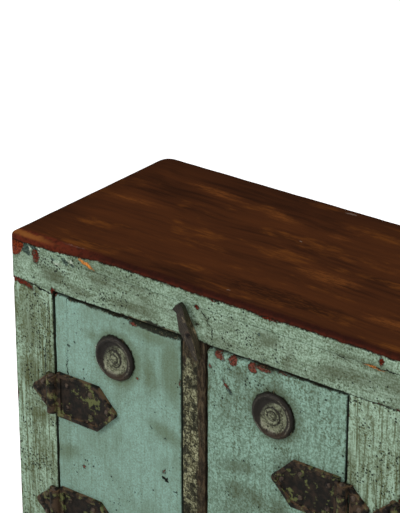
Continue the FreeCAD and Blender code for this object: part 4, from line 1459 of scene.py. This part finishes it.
class Workpiece:
    """A mesh on the bench, shaped with Blender's editing tools."""

    def __init__(self, piece: bpy.types.Object) -> None:
        """Keeps the object to work on."""
        self.piece = piece

    @classmethod
    def block(cls, name: str, span: Span) -> "Workpiece":
        """Starts from a sawn block that fills a box."""
        release()
        bpy.ops.mesh.primitive_cube_add(size=1.0, location=span.centre, scale=span.size)
        return cls.started(name)

    @classmethod
    def disc(cls, name: str, centre: Vector, radius: float, sides: int) -> "Workpiece":
        """Starts from a round face that looks to the front.

        Args:
            name: The new piece's name.
            centre: Its middle.
            radius: How far its corners are from there.
            sides: How many corners it has.

        Returns:
            The workpiece.
        """
        release()
        turn = (math.pi / 2, 0.0, 0.0)
        bpy.ops.mesh.primitive_circle_add(
            vertices=sides, radius=radius, fill_type="NGON", location=centre, rotation=turn
        )
        return cls.started(name)

    @classmethod
    def started(cls, name: str) -> "Workpiece":
        """Names the primitive just added, and puts its place in its mesh.

        Args:
            name: The new piece's name.

        Returns:
            The workpiece.
        """
        piece = bpy.context.object
        piece.name = piece.data.name = name
        bpy.ops.object.transform_apply(location=True, rotation=True, scale=True)
        piece.select_set(False)
        return cls(piece)

    @classmethod
    def copy_of(cls, node: str, name: str) -> "Workpiece":
        """Starts from a copy of a node's mesh, with its loose triangles joined into flat faces.

        Args:
            node: The node to copy.
            name: The new piece's name.

        Returns:
            The workpiece.
        """
        piece = bpy.data.objects.new(name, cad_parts[node].data.copy())
        piece.data.name = name
        piece.data.materials.clear()
        bpy.context.scene.collection.objects.link(piece)
        with editing(piece):
            bpy.ops.mesh.select_all(action="SELECT")
            bpy.ops.mesh.remove_doubles(threshold=0.01 * MM)
            bpy.ops.mesh.dissolve_limited(angle_limit=math.radians(0.6))
        return cls(piece)

    def grid(self, step: float) -> None:
        """Cuts a block across its length, width and height, so that it can be worn.

        Args:
            step: About how far one cut is from the next.
        """
        for axis in Axis:
            cuts = round(self.piece.dimensions[axis.value] / step) - 1
            if cuts < 1:
                continue
            with editing(self.piece, "EDGE") as mesh:
                for edge in mesh.edges:
                    run = edge.verts[1].co - edge.verts[0].co
                    edge.select_set(abs(run[axis.value]) > 0.9 * run.length)
                bpy.ops.mesh.subdivide(number_cuts=cuts)

    def rounded(self, wanted: Callable[[Vector, Vector], bool], width: float, segments: int = 2) -> None:
        """Rounds off some of the edges.

        Args:
            wanted: Tests an edge by its two ends.
            width: How far the rounding reaches.
            segments: How many faces it has.
        """
        with editing(self.piece, "EDGE") as mesh:
            for edge in mesh.edges:
                edge.select_set(wanted(edge.verts[0].co, edge.verts[1].co))
            bpy.ops.mesh.bevel(offset=width, segments=segments, affect="EDGES")

    def raised(self, level: float, radius: float, steps: int) -> None:
        """Rounds off the arris round a block's top face, in rings that leave its corners alone.

        Args:
            level: How high the top face is.
            radius: The rounding's radius.
            steps: How many rings it has.
        """
        angles = [math.pi / 2 * step / steps for step in range(steps + 1)]
        with editing(self.piece, "FACE") as mesh:
            for face in mesh.faces:
                face.select_set(face.calc_center_median().z > level - 0.01 * MM)
            bpy.ops.transform.translate(value=(0.0, 0.0, -radius))
            for before, after in pairwise(angles):
                inward = radius * (math.cos(before) - math.cos(after))
                upward = radius * (math.sin(after) - math.sin(before))
                bpy.ops.mesh.inset(thickness=inward, depth=0.0)
                bpy.ops.transform.translate(value=(0.0, 0.0, upward))

    def slices(self, axis: Axis, places: Iterable[float]) -> None:
        """Cuts the mesh with planes across an axis, and keeps both sides of each.

        Args:
            axis: The axis that the planes stand across.
            places: Where they cut it.
        """
        with editing(self.piece):
            for place in places:
                bpy.ops.mesh.select_all(action="SELECT")
                bpy.ops.mesh.bisect(plane_co=axis.at(place), plane_no=axis.at(1.0))

    def evenly(self, axis: Axis, span: Span, step: float) -> None:
        """Cuts the mesh across an axis into even lengths.

        Args:
            axis: The axis that the planes stand across.
            span: The piece's box.
            step: About how long each part is.
        """
        low, length = span.low[axis.value], span.size[axis.value]
        count = round(length / step)
        self.slices(axis, [low + length * place / count for place in range(1, count)])

    def modify(self, kind: str, **settings: object) -> None:
        """Adds a modifier with its settings, and applies it.

        Args:
            kind: The modifier's type.
            settings: The modifier's own settings.
        """
        with chosen(self.piece):
            modifier = self.piece.modifiers.new(kind.title(), kind)
            for name, value in settings.items():
                setattr(modifier, name, value)
            bpy.ops.object.modifier_apply(modifier=modifier.name)

    def arrises(self, width: float, segments: int = 2, angle: float = 40.0) -> None:
        """Takes off the arrises that turn by more than an angle, in degrees."""
        shape = {"width": width, "segments": segments, "angle_limit": math.radians(angle)}
        self.modify("BEVEL", limit_method="ANGLE", use_clamp_overlap=True, **shape)

    def eased(self, outline: Span, width: float) -> None:
        """Takes off only the arrises that are arrises of a box, which may hold a neighbour too."""
        self.rounded(lambda low, high: outline.arris_distance((low + high) / 2) < CLOSE / 2, width)

    def weigh(self, name: str, weight: Callable[[Vector], float]) -> None:
        """Gives each point a weight that says how much later wear moves it.

        Args:
            name: The name of the weights.
            weight: Gives a point's weight, which counts as 0 below 0 and as 1 above 1.
        """
        group = self.piece.vertex_groups.new(name=name)
        for vertex in self.piece.data.vertices:
            value = weight(vertex.co)
            if value > 0:
                group.add([vertex.index], min(1.0, value), "REPLACE")

    def wear(self, depth: float, size: float, group: str = "", contrast: float = 1.0) -> None:
        """Presses the surface in by a cloudy amount, never out.

        Args:
            depth: The deepest that it goes, in metres.
            size: How far one hollow is from the next, in metres.
            group: The weights to follow, or all points alike.
            contrast: How much the hollows stand apart.
        """
        texture = bpy.data.textures.new(f"{self.piece.name}_wear", "CLOUDS")
        texture.noise_scale = size
        texture.noise_depth = 2
        texture.contrast = contrast
        self.displace(group, "NORMAL", depth, texture=texture, mid_level=1.0)

    def push(self, group: str, direction: str, distance: float) -> None:
        """Moves the weighted points along an axis of the frame."""
        self.displace(group, direction, distance, mid_level=0.0)

    def displace(self, group: str, direction: str, strength: float, **settings: object) -> None:
        """Moves the weighted points, by a texture or all alike."""
        self.modify("DISPLACE", vertex_group=group, direction=direction, strength=strength, **settings)

    def finish(self, body: str, finish: Finish, surface: Surface, angle: float = 38.0) -> None:
        """Shades the piece, and gives it its material, body, slot and the place of its node.

        Args:
            body: The body that the piece rides on.
            finish: What covers it.
            surface: What the finish needs to know of it, with its node's name.
            angle: How much an edge may turn and still be shaded smooth, in degrees.
        """
        with chosen(self.piece):
            bpy.ops.object.shade_smooth_by_angle(angle=math.radians(angle))
        self.piece.data.materials.clear()
        self.piece.data.materials.append(finish.material(surface))
        self.piece.vertex_groups.clear()
        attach(self.piece, body)
        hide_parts(surface.name)
        log.info("%s rides on %s, with %d faces", self.piece.name, body, len(self.piece.data.polygons))


FRAME_PAINT = Paint()
POST_PAINT = Paint(
    paint=seen(124, 144, 120), pale=seen(160, 186, 164), dirty=seen(76, 80, 48), brush=0.85, dirt=0.5,
    speckle=0.9, pitting=0.85,
)
DOOR_PAINT = Paint(
    slot="door_paint", paint=seen(124, 152, 138), pale=seen(136, 170, 156), dirty=seen(84, 94, 64),
    undercoat=seen(110, 58, 46), wear=0.34, dirt=0.3, brush=0.2, speckle=0.35, pitting=0.26,
)
WORN_DOOR_PAINT = replace(
    DOOR_PAINT, paint=seen(110, 136, 118), pale=seen(140, 172, 156), dirty=seen(70, 76, 52), wear=0.42,
    dirt=0.45, brush=0.3, speckle=0.7, pitting=0.36,
)
BACK_PAINT = Paint(wear=0.58, dirt=0.8, paint=seen(108, 128, 104))
STILE_PAINT = StilePaint()
TOP_FINISH = StainedTop()
BARE_WOOD = Wood()
PANEL_WOOD = Wood(
    slot="panel_wood", dark=seen(70, 44, 28), middle=seen(112, 74, 46), light=seen(146, 104, 66)
)
HINGE_IRON = Handled()
# The nails' worn amount is painted light on their upper faces.
NAIL_IRON = Handled(
    slot="nail_iron", base=seen(26, 22, 20), bloom=seen(66, 48, 36), polish=seen(92, 80, 68),
    patches=0.3, worn=0.6, proud=0.7, proud_shares=(0.16, 0.02),
)
BOSS_PAINT = BossPaint()


@dataclass
class Timber:
    """A member cut from one board, planed by hand and worn since."""

    node: str
    body: str
    span: Span
    grain: Axis
    finish: Finish
    painted: tuple[Side, ...] = (Side.FRONT,)
    whole: Span | None = None
    arris: float = 0.9 * MM
    step: float = 13 * MM
    ripple: float = 0.4 * MM
    ripple_size: float = 60 * MM
    flat_from: float = 6 * MM
    wear: float = 0.7 * MM
    wear_size: float = 22 * MM
    reach: float = 4 * MM
    seam: float = 0.0
    seed: int = 0

    def shaped(self) -> Workpiece:
        """Cuts, eases and wears the block, without its finish.

        Returns:
            The workpiece.
        """
        outline = self.surface().outline
        work = Workpiece.block(f"{self.node}_worn", self.span)
        work.grid(self.step)
        work.eased(outline, self.arris)
        if self.seam:
            work.arrises(self.seam, 1, 60)
        work.weigh("arris", lambda point: 1 - outline.arris_distance(point) / self.reach)
        work.weigh("face", lambda point: self.span.arris_distance(point) / self.flat_from)
        work.wear(self.ripple, self.ripple_size, group="face")
        work.wear(self.wear, self.wear_size, group="arris", contrast=1.6)
        return work

    def surface(self) -> Surface:
        """Gives what the finish needs to know."""
        return Surface(self.node, self.span, self.grain, self.painted, self.seed, self.whole)

    def dress(self, work: Workpiece) -> None:
        """Finishes the shaped block in the node's place."""
        work.finish(self.body, self.finish, self.surface())

    def build(self) -> None:
        """Shapes and dresses the member."""
        self.dress(self.shaped())


@dataclass
class Carcass:
    """The frame, top, panels and floor of the cabinet."""

    body: str = "carcass"
    top_step: float = 14 * MM
    front_corner: float = 1.2 * MM
    back_corner: float = 20 * MM
    top_arris: float = 7 * MM
    top_worn: float = 9 * MM
    notch_length: float = 36 * MM
    notch_height: float = 7 * MM
    notch_reach: float = 14 * MM
    notch_depth: float = 1.6 * MM
    foot_reach: float = 40 * MM
    foot_flat: float = 4 * MM

    def off_mitre(self, span: Span, point: Vector) -> float:
        """Gives how far a point lies from the board's nearer front mitre, in plan."""
        aside = min(point.x - span.low.x, span.high.x - point.x)
        return abs(aside - (point.y - span.low.y))

    def near_top(self, span: Span, point: Vector) -> float:
        """Gives how near a point is to the board's top, from 0 to 1."""
        return max(0.0, 1 - (span.high.z - point.z) / self.top_worn)

    def top_board(self) -> None:
        """The top board: one wide plank with a soft, dented front arris."""
        span = Span.of("top_board")
        work = Workpiece.block("top_board_worn", span)
        work.rounded(
            lambda low, high: abs(high.z - low.z) > span.size.z / 2 and low.y > span.centre.y,
            self.back_corner, segments=8,
        )
        work.raised(span.high.z, self.top_arris, steps=4)
        work.rounded(
            lambda low, high: max(self.off_mitre(span, low), self.off_mitre(span, high)) < CLOSE,
            self.front_corner,
        )
        for axis in (Axis.X, Axis.Y):
            work.evenly(axis, span, self.top_step)
        work.weigh(
            "arris",
            lambda point: (1 - span.arris_distance(point) / self.top_worn) * self.near_top(span, point),
        )
        work.weigh("face", lambda point: self.near_top(span, point))
        work.wear(0.6 * MM, 90 * MM, group="face")
        work.wear(1.3 * MM, 30 * MM, group="arris", contrast=1.5)
        painted = (Side.FRONT, Side.LEFT, Side.RIGHT)
        whole = span.joined(Span.of("front_top_rail"))
        surface = Surface("top_board", span, Axis.X, painted, whole=whole)
        work.finish(self.body, TOP_FINISH, surface, angle=50)

    def top_rails(self) -> None:
        """The four rails under the top board, whose paint runs on over its edges."""
        front, back, board = (Span.of(node) for node in ("front_top_rail", "back_top_rail", "top_board"))
        ends = (Side.LEFT, Side.RIGHT)
        painted = (Side.FRONT, *ends)
        whole = front.joined(board)
        Timber("front_top_rail", self.body, front, Axis.X, FRAME_PAINT, painted, whole=whole).build()
        seed = Batch.BACK_RAIL.seed()
        Timber("back_top_rail", self.body, back, Axis.X, BACK_PAINT, (Side.BACK, *ends), seed=seed).build()
        for number, side in enumerate(ends):
            node = f"{side.prefix}_top_rail"
            span = Span.of(node).between(Axis.Y, front.high.y, back.low.y)
            seed = Batch.SIDE_TOP_RAILS.seed(number)
            Timber(node, self.body, span, Axis.Y, FRAME_PAINT, (side,), seed=seed).build()

    def bottom_rails(self) -> None:
        """The four rails that carry the floor."""
        corners = ("front_left_post", "front_right_post", "back_left_post")
        post, opposite, back = (Span.of(node) for node in corners)
        runs = (
            (Axis.X, Batch.LONG_BOTTOM_RAILS, (Side.FRONT, Side.BACK), post.high.x, opposite.low.x),
            (Axis.Y, Batch.SIDE_BOTTOM_RAILS, (Side.LEFT, Side.RIGHT), post.high.y, back.low.y),
        )
        for axis, batch, sides, low, high in runs:
            for number, side in enumerate(sides):
                node = f"{side.prefix}_bottom_rail"
                span = Span.of(node).between(axis, low, high)
                finish = BACK_PAINT if side is Side.BACK else FRAME_PAINT
                Timber(node, self.body, span, axis, finish, (side,), seed=batch.seed(number)).build()

    def notch(self, span: Span, point: Vector) -> float:
        """Gives how far a point at the top of the left post is worn back, under the rail's end.

        Args:
            span: The post's box.
            point: The point.

        Returns:
            The share of the notch's depth, from 0 to 1.
        """
        along = 1 - (point.x - span.low.x) / self.notch_length
        below = 1 - (span.high.z - point.z) / (self.notch_height + 0.5 * MM)
        ahead = 1 - (point.y - span.low.y) / self.notch_reach
        return min(1.0, 3 * along) * ahead if min(along, below, ahead) > 0 else 0.0

    def foot(self, span: Span, point: Vector) -> float:
        """Gives how worn a point is for how near the foot it is, with the sole itself left flat."""
        return 1 - (point.z - span.low.z) / self.foot_reach if point.z > self.foot_flat else 0.0

    def posts(self) -> None:
        """The four corner posts, most worn at their feet, and the front left one at its head too."""
        rail = Span.of("front_top_rail")
        corners = product((Side.FRONT, Side.BACK), (Side.LEFT, Side.RIGHT))
        for number, (depth, side) in enumerate(corners):
            node = f"{depth.prefix}_{side.prefix}_post"
            span = Span.of(node).between(Axis.Z, high=rail.low.z)
            finish = POST_PAINT if depth is Side.FRONT else BACK_PAINT
            notched = (depth, side) == (Side.FRONT, Side.LEFT)
            whole = span.joined(rail.between(Axis.X, high=span.high.x)) if notched else None
            seed = Batch.CORNER_POSTS.seed(number)
            post = Timber(node, self.body, span, Axis.Z, finish, (depth, side), whole=whole, seed=seed)
            work = post.shaped()
            if notched:
                work.slices(Axis.Z, [span.high.z - self.notch_height])
                work.weigh("notch", lambda point: self.notch(span, point))
                work.push("notch", "Y", self.notch_depth)
            work.weigh("foot", lambda point: self.foot(span, point))
            work.wear(3 * MM, 20 * MM, group="foot", contrast=1.6)
            post.dress(work)

    def uprights(self) -> None:
        """The centre posts, and the stiles that the catches turn on."""
        low = Span.of("front_bottom_rail").high.z
        high = Span.of("front_top_rail").low.z
        finishes = {
            "front_centre_post": (Side.FRONT, POST_PAINT), "back_centre_post": (Side.BACK, BACK_PAINT),
            "left_door_stile": (Side.FRONT, STILE_PAINT), "right_door_stile": (Side.FRONT, STILE_PAINT),
        }
        for number, (node, (side, finish)) in enumerate(finishes.items()):
            span = Span.of(node).between(Axis.Z, low, high)
            seed = Batch.UPRIGHTS.seed(number)
            Timber(node, self.body, span, Axis.Z, finish, (side,), seed=seed).build()

    def plain_wood(self) -> None:
        """The panels, floor, bearers, battens and pegs, whose cut shapes stay and get bare wood."""
        grains = {
            "left_side_panel": Axis.Z, "right_side_panel": Axis.Z, "left_back_panel": Axis.X,
            "right_back_panel": Axis.X, "front_floor_board": Axis.X, "back_floor_board": Axis.X,
            "left_floor_bearer": Axis.Y, "right_floor_bearer": Axis.Y, "top_battens": Axis.Y,
            "joint_pegs": Axis.X,
        }
        for number, (node, grain) in enumerate(grains.items()):
            finish = PANEL_WOOD if node.endswith("panel") else BARE_WOOD
            dress_node(node, finish, grain, Batch.PLAIN_WOOD.seed(number))

    def build(self) -> None:
        """Builds the whole carcass."""
        self.top_board()
        self.top_rails()
        self.bottom_rails()
        self.posts()
        self.uprights()
        self.plain_wood()


def dress_node(node: str, finish: Finish, grain: Axis, seed: int = 0) -> None:
    """Gives a node that keeps its shape a finish of its own.

    Args:
        node: The node.
        finish: What covers it.
        grain: The axis that its grain runs along.
        seed: What its grain is drawn from.
    """
    material = finish.material(Surface(node, Span.of(node), grain, seed=seed))
    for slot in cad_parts[node].material_slots:
        slot.material = material
    log.info("%s keeps its shape and gets %s", node, finish.slot)


@dataclass
class Boss:
    """A turned boss: rings cut into a round block, from the rim in to the button."""

    body: str
    node: str
    face: float
    sides: int = 72
    skirt: float = 2.0 * MM
    trim: float = 1.7 * MM
    dents: float = 0.7 * MM
    dent_size: float = 12 * MM

    # How far the boss sits from the middle of its node, as the photograph shows it.
    OFFSET = (-1.5 * MM, 0.0, 0.0)
    # The turning, from the rim in: how far each ring goes in, and how far it rises, in millimetres.
    PROFILE = (
        (0.7, 1.7), (1.0, 1.3), (1.5, 1.0), (1.6, 0.3), (1.6, -0.3), (1.5, -1.2), (1.8, -1.5),
        (2.2, -0.8), (5.8, -0.2), (1.2, 1.0), (0.9, 1.4), (1.2, 0.4), (1.6, -0.2), (1.3, -1.3),
        (1.1, 0.2), (1.2, 1.6), (1.3, 0.7),
    )

    def build(self) -> None:
        """Turns the boss and dents it a little."""
        span = Span.of(self.node)
        centre = Vector((span.centre.x, self.face, span.centre.z)) + Vector(self.OFFSET)
        radius = span.size.x / 2 - self.trim
        work = Workpiece.disc(f"{self.node}_turned", centre, radius, self.sides)
        with editing(work.piece, "EDGE"):
            bpy.ops.mesh.select_all(action="SELECT")
            skirt = {"value": (0.0, -self.skirt, 0.0)}
            bpy.ops.mesh.extrude_region_move(TRANSFORM_OT_translate=skirt)
            for inset, rise in self.PROFILE:
                bpy.ops.mesh.inset(thickness=inset * MM, depth=0.0)
                bpy.ops.transform.translate(value=(0.0, -rise * MM, 0.0))
            bpy.ops.mesh.poke()
            bpy.ops.mesh.select_all(action="SELECT")
            bpy.ops.mesh.normals_make_consistent(inside=False)
        work.wear(self.dents, self.dent_size)
        work.modify("SUBSURF", levels=1, render_levels=1)
        reach = Vector((radius, 0.0, radius))
        surface = Surface(self.node, Span(centre - reach, centre + reach), Axis.X)
        work.finish(self.body, BOSS_PAINT, surface, angle=60)


@dataclass
class Irons:
    """Forged hinge straps, with hammered faces and softened edges."""

    body: str
    node: str
    edge: float = 0.5 * MM
    step: float = 6 * MM
    dents: float = 0.5 * MM
    dent_size: float = 8 * MM

    def build(self) -> None:
        """Hammers a copy of the straps."""
        span = Span.of(self.node)
        work = Workpiece.copy_of(self.node, f"{self.node}_forged")
        work.evenly(Axis.X, span, self.step)
        work.arrises(self.edge, 1, 50)
        work.wear(self.dents, self.dent_size)
        work.finish(self.body, HINGE_IRON, Surface(self.node, span, Axis.X), angle=40)


@dataclass
class Door:
    """One door: board, edge strip, battens, boss and hinge irons.

    Its top front arris is worn down, most at the free edge: from the least wear on, the wear grows
    from where the worn part starts, as a share of the door's width.
    """

    number: int
    worn_to_right: bool
    paint: Paint
    top_wear: float = 6.5 * MM
    top_reach: float = 9 * MM
    top_depth: float = 8 * MM
    least: float = 0.15
    start: float = 0.3

    @property
    def name(self) -> str:
        """The door's name, which is its body's too."""
        return f"door_{self.number}"

    def lift(self, span: Span, point: Vector) -> float:
        """Gives how much a point of the top front arris has worn down.

        Args:
            span: The door's box.
            point: The point.

        Returns:
            The share of the deepest wear, from 0 to 1.
        """
        share = (point.x - span.low.x) / span.size.x
        along = share if self.worn_to_right else 1 - share
        below = 1 - (span.high.z - point.z) / self.top_reach
        ahead = 1 - (point.y - span.low.y) / self.top_depth
        if min(below, ahead) <= 0:
            return 0.0
        grown = max(0.0, along - self.start) / (1 - self.start)
        return (self.least + (1 - self.least) * grown) * min(1.0, 2 * below) * ahead

    def leaf(self) -> None:
        """The board, its top arris worn by hands and the catch, and the strip, whose paint runs on."""
        strip, board = Span.of(f"{self.name}_edge_strip"), Span.of(f"{self.name}_board")
        whole = board.joined(strip)
        if self.worn_to_right:
            board = board.between(Axis.X, low=strip.high.x)
        else:
            board = board.between(Axis.X, high=strip.low.x)
        for part, span in (("board", board), ("edge_strip", strip)):
            node, seed = f"{self.name}_{part}", Batch.DOORS.seed(self.number)
            shape = {"arris": 1.6 * MM, "wear": 1.8 * MM, "seam": 0.3 * MM}
            timber = Timber(node, self.name, span, Axis.Z, self.paint, whole=whole, seed=seed, **shape)
            work = timber.shaped()
            work.weigh("top", lambda point: self.lift(whole, point))
            work.push("top", "Z", -self.top_wear)
            timber.dress(work)

    def build(self) -> None:
        """Builds the whole door."""
        self.leaf()
        Boss(self.name, f"{self.name}_boss", Span.of(f"{self.name}_board").low.y).build()
        battens = Batch.DOOR_BATTENS.seed(self.number)
        dress_node(f"{self.name}_battens", BARE_WOOD, Axis.X, battens)
        Irons(self.name, f"{self.name}_hinge_straps").build()
        dress_node(f"{self.name}_hinge_nails", NAIL_IRON, Axis.X)


class Row(NamedTuple):
    """A section across a catch, in millimetres from its pivot, for a catch that leans to the left.

    The place is how high it is, left and right are where its front face ends, and front and depth are
    how far that face stands before the pivot's plane and how thick the catch is behind it. The flare
    is how much further right the back right arris lies than the front one.
    """

    place: float
    left: float
    right: float
    front: float
    depth: float
    flare: float


@dataclass
class Catch:
    """A wooden turn button on a nail: a carved bar with a small beak at its upper end."""

    node: str
    stile: str
    share: float
    lean: float
    rise: float = 10.5 * MM
    bore: float = 2.6 * MM
    edge: float = 1.1 * MM
    dents: float = 0.7 * MM
    dent_size: float = 10 * MM

    ROWS = (
        Row(-36, -4.6, 0.8, 0.4, 5.2, 1), Row(-29, -5, 2.2, 0.4, 7, 1.5),
        Row(-23, -5.4, 3.8, 0.4, 8.2, 2), Row(-16, -6.6, 4.8, 0.4, 8.8, 2.2),
        Row(-10, -8.4, 4.9, 0.4, 9, 2.4), Row(0, -11.4, 4.8, 0.4, 9.2, 1.8),
        Row(5.5, -12.6, 4.4, 0.5, 9.6, 1.6), Row(14, -10, 4.4, 0.8, 10.4, 0.4),
        Row(22, -6.6, 6.8, 1.4, 12, -2.4), Row(30, -3.7, 8.8, 2.4, 12.6, -4.6),
        Row(35.3, -8.4, 9.6, 3.4, 12.2, -5), Row(38.6, -3.2, 8.6, 4.4, 11.4, -4.6),
        Row(41, 0.2, 5, 5.2, 10.6, -2.4),
    )

    def pivot(self) -> Vector:
        """Gives the middle of the nail, on the front's face."""
        stile, rail = Span.of(self.stile), Span.of("front_top_rail")
        return Vector((stile.low.x + stile.size.x * self.share, rail.low.y, rail.low.z + self.rise))

    def carve(self, work: Workpiece) -> None:
        """Gives each row across a plain bar its own width, depth and place.

        Args:
            work: The bar, two millimetres wide and one deep, cut across at each row.
        """
        way = 1 if self.lean < 0 else -1
        for row in self.ROWS:
            centre = (row.left + row.right) / 2
            scale = ((row.right - row.left) / 2, row.depth, 1.0)
            with editing(work.piece) as mesh:
                for vertex in mesh.verts:
                    vertex.select_set(abs(vertex.co.z - row.place * MM) < CLOSE)
                bpy.ops.transform.resize(value=scale, center_override=ORIGIN)
                bpy.ops.transform.translate(value=(way * centre * MM, -row.front * MM, 0.0))
                for vertex in mesh.verts:
                    behind = vertex.co.y > -(row.front + 0.1) * MM
                    vertex.select_set(vertex.select and behind and way * vertex.co.x > centre * MM)
                bpy.ops.transform.translate(value=(way * row.flare * MM, 0.0, 0.0))

    def pierce(self, work: Workpiece) -> None:
        """Cuts the hole for the nail.

        Args:
            work: The carved bar, still upright with its pivot at the origin.
        """
        for axis in (Axis.X, Axis.Z):
            work.slices(axis, [-self.bore, self.bore])
        with editing(work.piece, "FACE") as mesh:
            for face in mesh.faces:
                centre = face.calc_center_median()
                within = max(abs(centre.x), abs(centre.z)) < 0.9 * self.bore
                face.select_set(within and abs(face.normal.y) > 0.5)
            bpy.ops.mesh.bridge_edge_loops()

    def build(self) -> None:
        """Carves, pierces, turns and wears the catch."""
        low, high = self.ROWS[0].place * MM, self.ROWS[-1].place * MM
        bar = Span(Vector((-MM, -MM, low)), Vector((MM, 0.0, high)))
        work = Workpiece.block(f"{self.node}_carved", bar)
        work.slices(Axis.Z, [row.place * MM for row in self.ROWS[1:-1]])
        self.carve(work)
        self.pierce(work)
        lean = math.radians(self.lean)
        with editing(work.piece):
            bpy.ops.mesh.select_all(action="SELECT")
            bpy.ops.transform.rotate(value=-lean, orient_axis="Y", center_override=ORIGIN)
            bpy.ops.transform.translate(value=self.pivot())
            bpy.ops.mesh.normals_make_consistent(inside=False)
        work.arrises(self.edge)
        work.wear(self.dents, self.dent_size)
        surface = Surface(self.node, Span(self.pivot(), self.pivot()), Axis.Z)
        work.finish(self.node, CatchWood(lean=lean), surface, angle=60)


@dataclass
class Studio:
    """A white floor, soft lamps and the camera."""

    camera_place: Point = (1.18976, -2.03052, 1.68472)
    camera_turn: Point = (65.346, 0.0, 37.555)
    lens: float = 196.97
    sensor_width: float = 36.0
    floor_size: float = 16.0
    floor_drop: float = 0.5 * MM
    floor_grey: float = 0.8
    floor_glow: float = 0.67
    ambient: float = 0.4
    target: Point = (-0.1, 0.0, 0.35)

    # Each lamp's place, size in metres and power in watts.
    LAMPS = (((-1.7, -2.6, 2.3), 1.5, 56.0), ((2.6, -1.6, 1.8), 2.4, 34.0), ((0.3, 1.6, 3.0), 3.0, 32.0))

    def camera(self) -> None:
        """Sets the camera up as the photograph was taken."""
        data = bpy.data.cameras.new("camera")
        data.lens = self.lens
        data.sensor_width = self.sensor_width
        data.sensor_fit = "HORIZONTAL"
        camera = bpy.data.objects.new("camera", data)
        camera.location = self.camera_place
        camera.rotation_euler = [math.radians(turn) for turn in self.camera_turn]
        bpy.context.scene.collection.objects.link(camera)
        bpy.context.scene.camera = camera

    def lights(self) -> None:
        """Hangs the soft lamps, each turned to the cabinet."""
        for number, (place, size, power) in enumerate(self.LAMPS):
            data = bpy.data.lights.new(f"lamp_{number}", "AREA")
            data.size = size
            data.energy = power
            lamp = bpy.data.objects.new(f"lamp_{number}", data)
            lamp.location = place
            way = Vector(self.target) - Vector(place)
            lamp.rotation_euler = way.to_track_quat("-Z", "Y").to_euler()
            bpy.context.scene.collection.objects.link(lamp)

    def world(self) -> None:
        """Lights all sides a little, and shows white behind the cabinet."""
        world = bpy.data.worlds.new("studio")
        bpy.context.scene.world = world
        world.use_nodes = True
        tree = Tree(world.node_tree)
        background = world.node_tree.nodes["Background"]
        background.inputs["Color"].default_value = WHITE
        camera = tree.add("LightPath").outputs["Is Camera Ray"]
        strength = tree.add("Mix", {0: camera, 2: self.ambient, 3: 1.0})
        tree.feed(background.inputs["Strength"], strength.outputs[0])

    def floor(self) -> None:
        """Lays a white floor that still takes the cabinet's shadow."""
        release()
        bpy.ops.mesh.primitive_plane_add(size=self.floor_size, location=(0.0, 0.0, -self.floor_drop))
        floor = bpy.context.object
        floor.name = "studio_floor"
        material = bpy.data.materials.new("studio_floor")
        material.use_nodes = True
        tree = Tree(material.node_tree)
        shader = material.node_tree.nodes["Principled BSDF"]
        seen_straight = tree.add("LightPath").outputs["Is Camera Ray"]
        inputs = {
            "Base Color": (*[self.floor_grey] * 3, 1.0), "Roughness": 0.9,
            "Specular IOR Level": 0.0, "Emission Color": WHITE,
            "Emission Strength": tree.times(seen_straight, self.floor_glow),
        }
        for name, value in inputs.items():
            tree.feed(shader.inputs[name], value)
        floor.data.materials.append(material)
        floor.select_set(False)

    def build(self) -> None:
        """Sets the whole studio up."""
        bpy.context.scene.view_settings.view_transform = "Standard"
        self.camera()
        self.lights()
        self.world()
        self.floor()


def main() -> None:
    """Builds the studio and dresses the cabinet."""
    logging.basicConfig(level=logging.INFO, format="%(message)s")
    Studio().build()
    Carcass().build()
    for number in DOOR_NUMBERS:
        outer = number in (DOOR_NUMBERS[0], DOOR_NUMBERS[-1])
        paint = DOOR_PAINT if outer else WORN_DOOR_PAINT
        Door(number, worn_to_right=number % 2 == 1, paint=paint).build()
        Irons("carcass", f"post_hinge_straps_{number}").build()
    Catch("left_catch", "left_door_stile", share=0.45, lean=-20.0).build()
    Catch("right_catch", "right_door_stile", share=0.55, lean=17.0).build()
    for node in ("hinge_pins", "post_hinge_nails", "catch_nails"):
        dress_node(node, NAIL_IRON, Axis.Z)


if __name__ == "__main__":
    main()
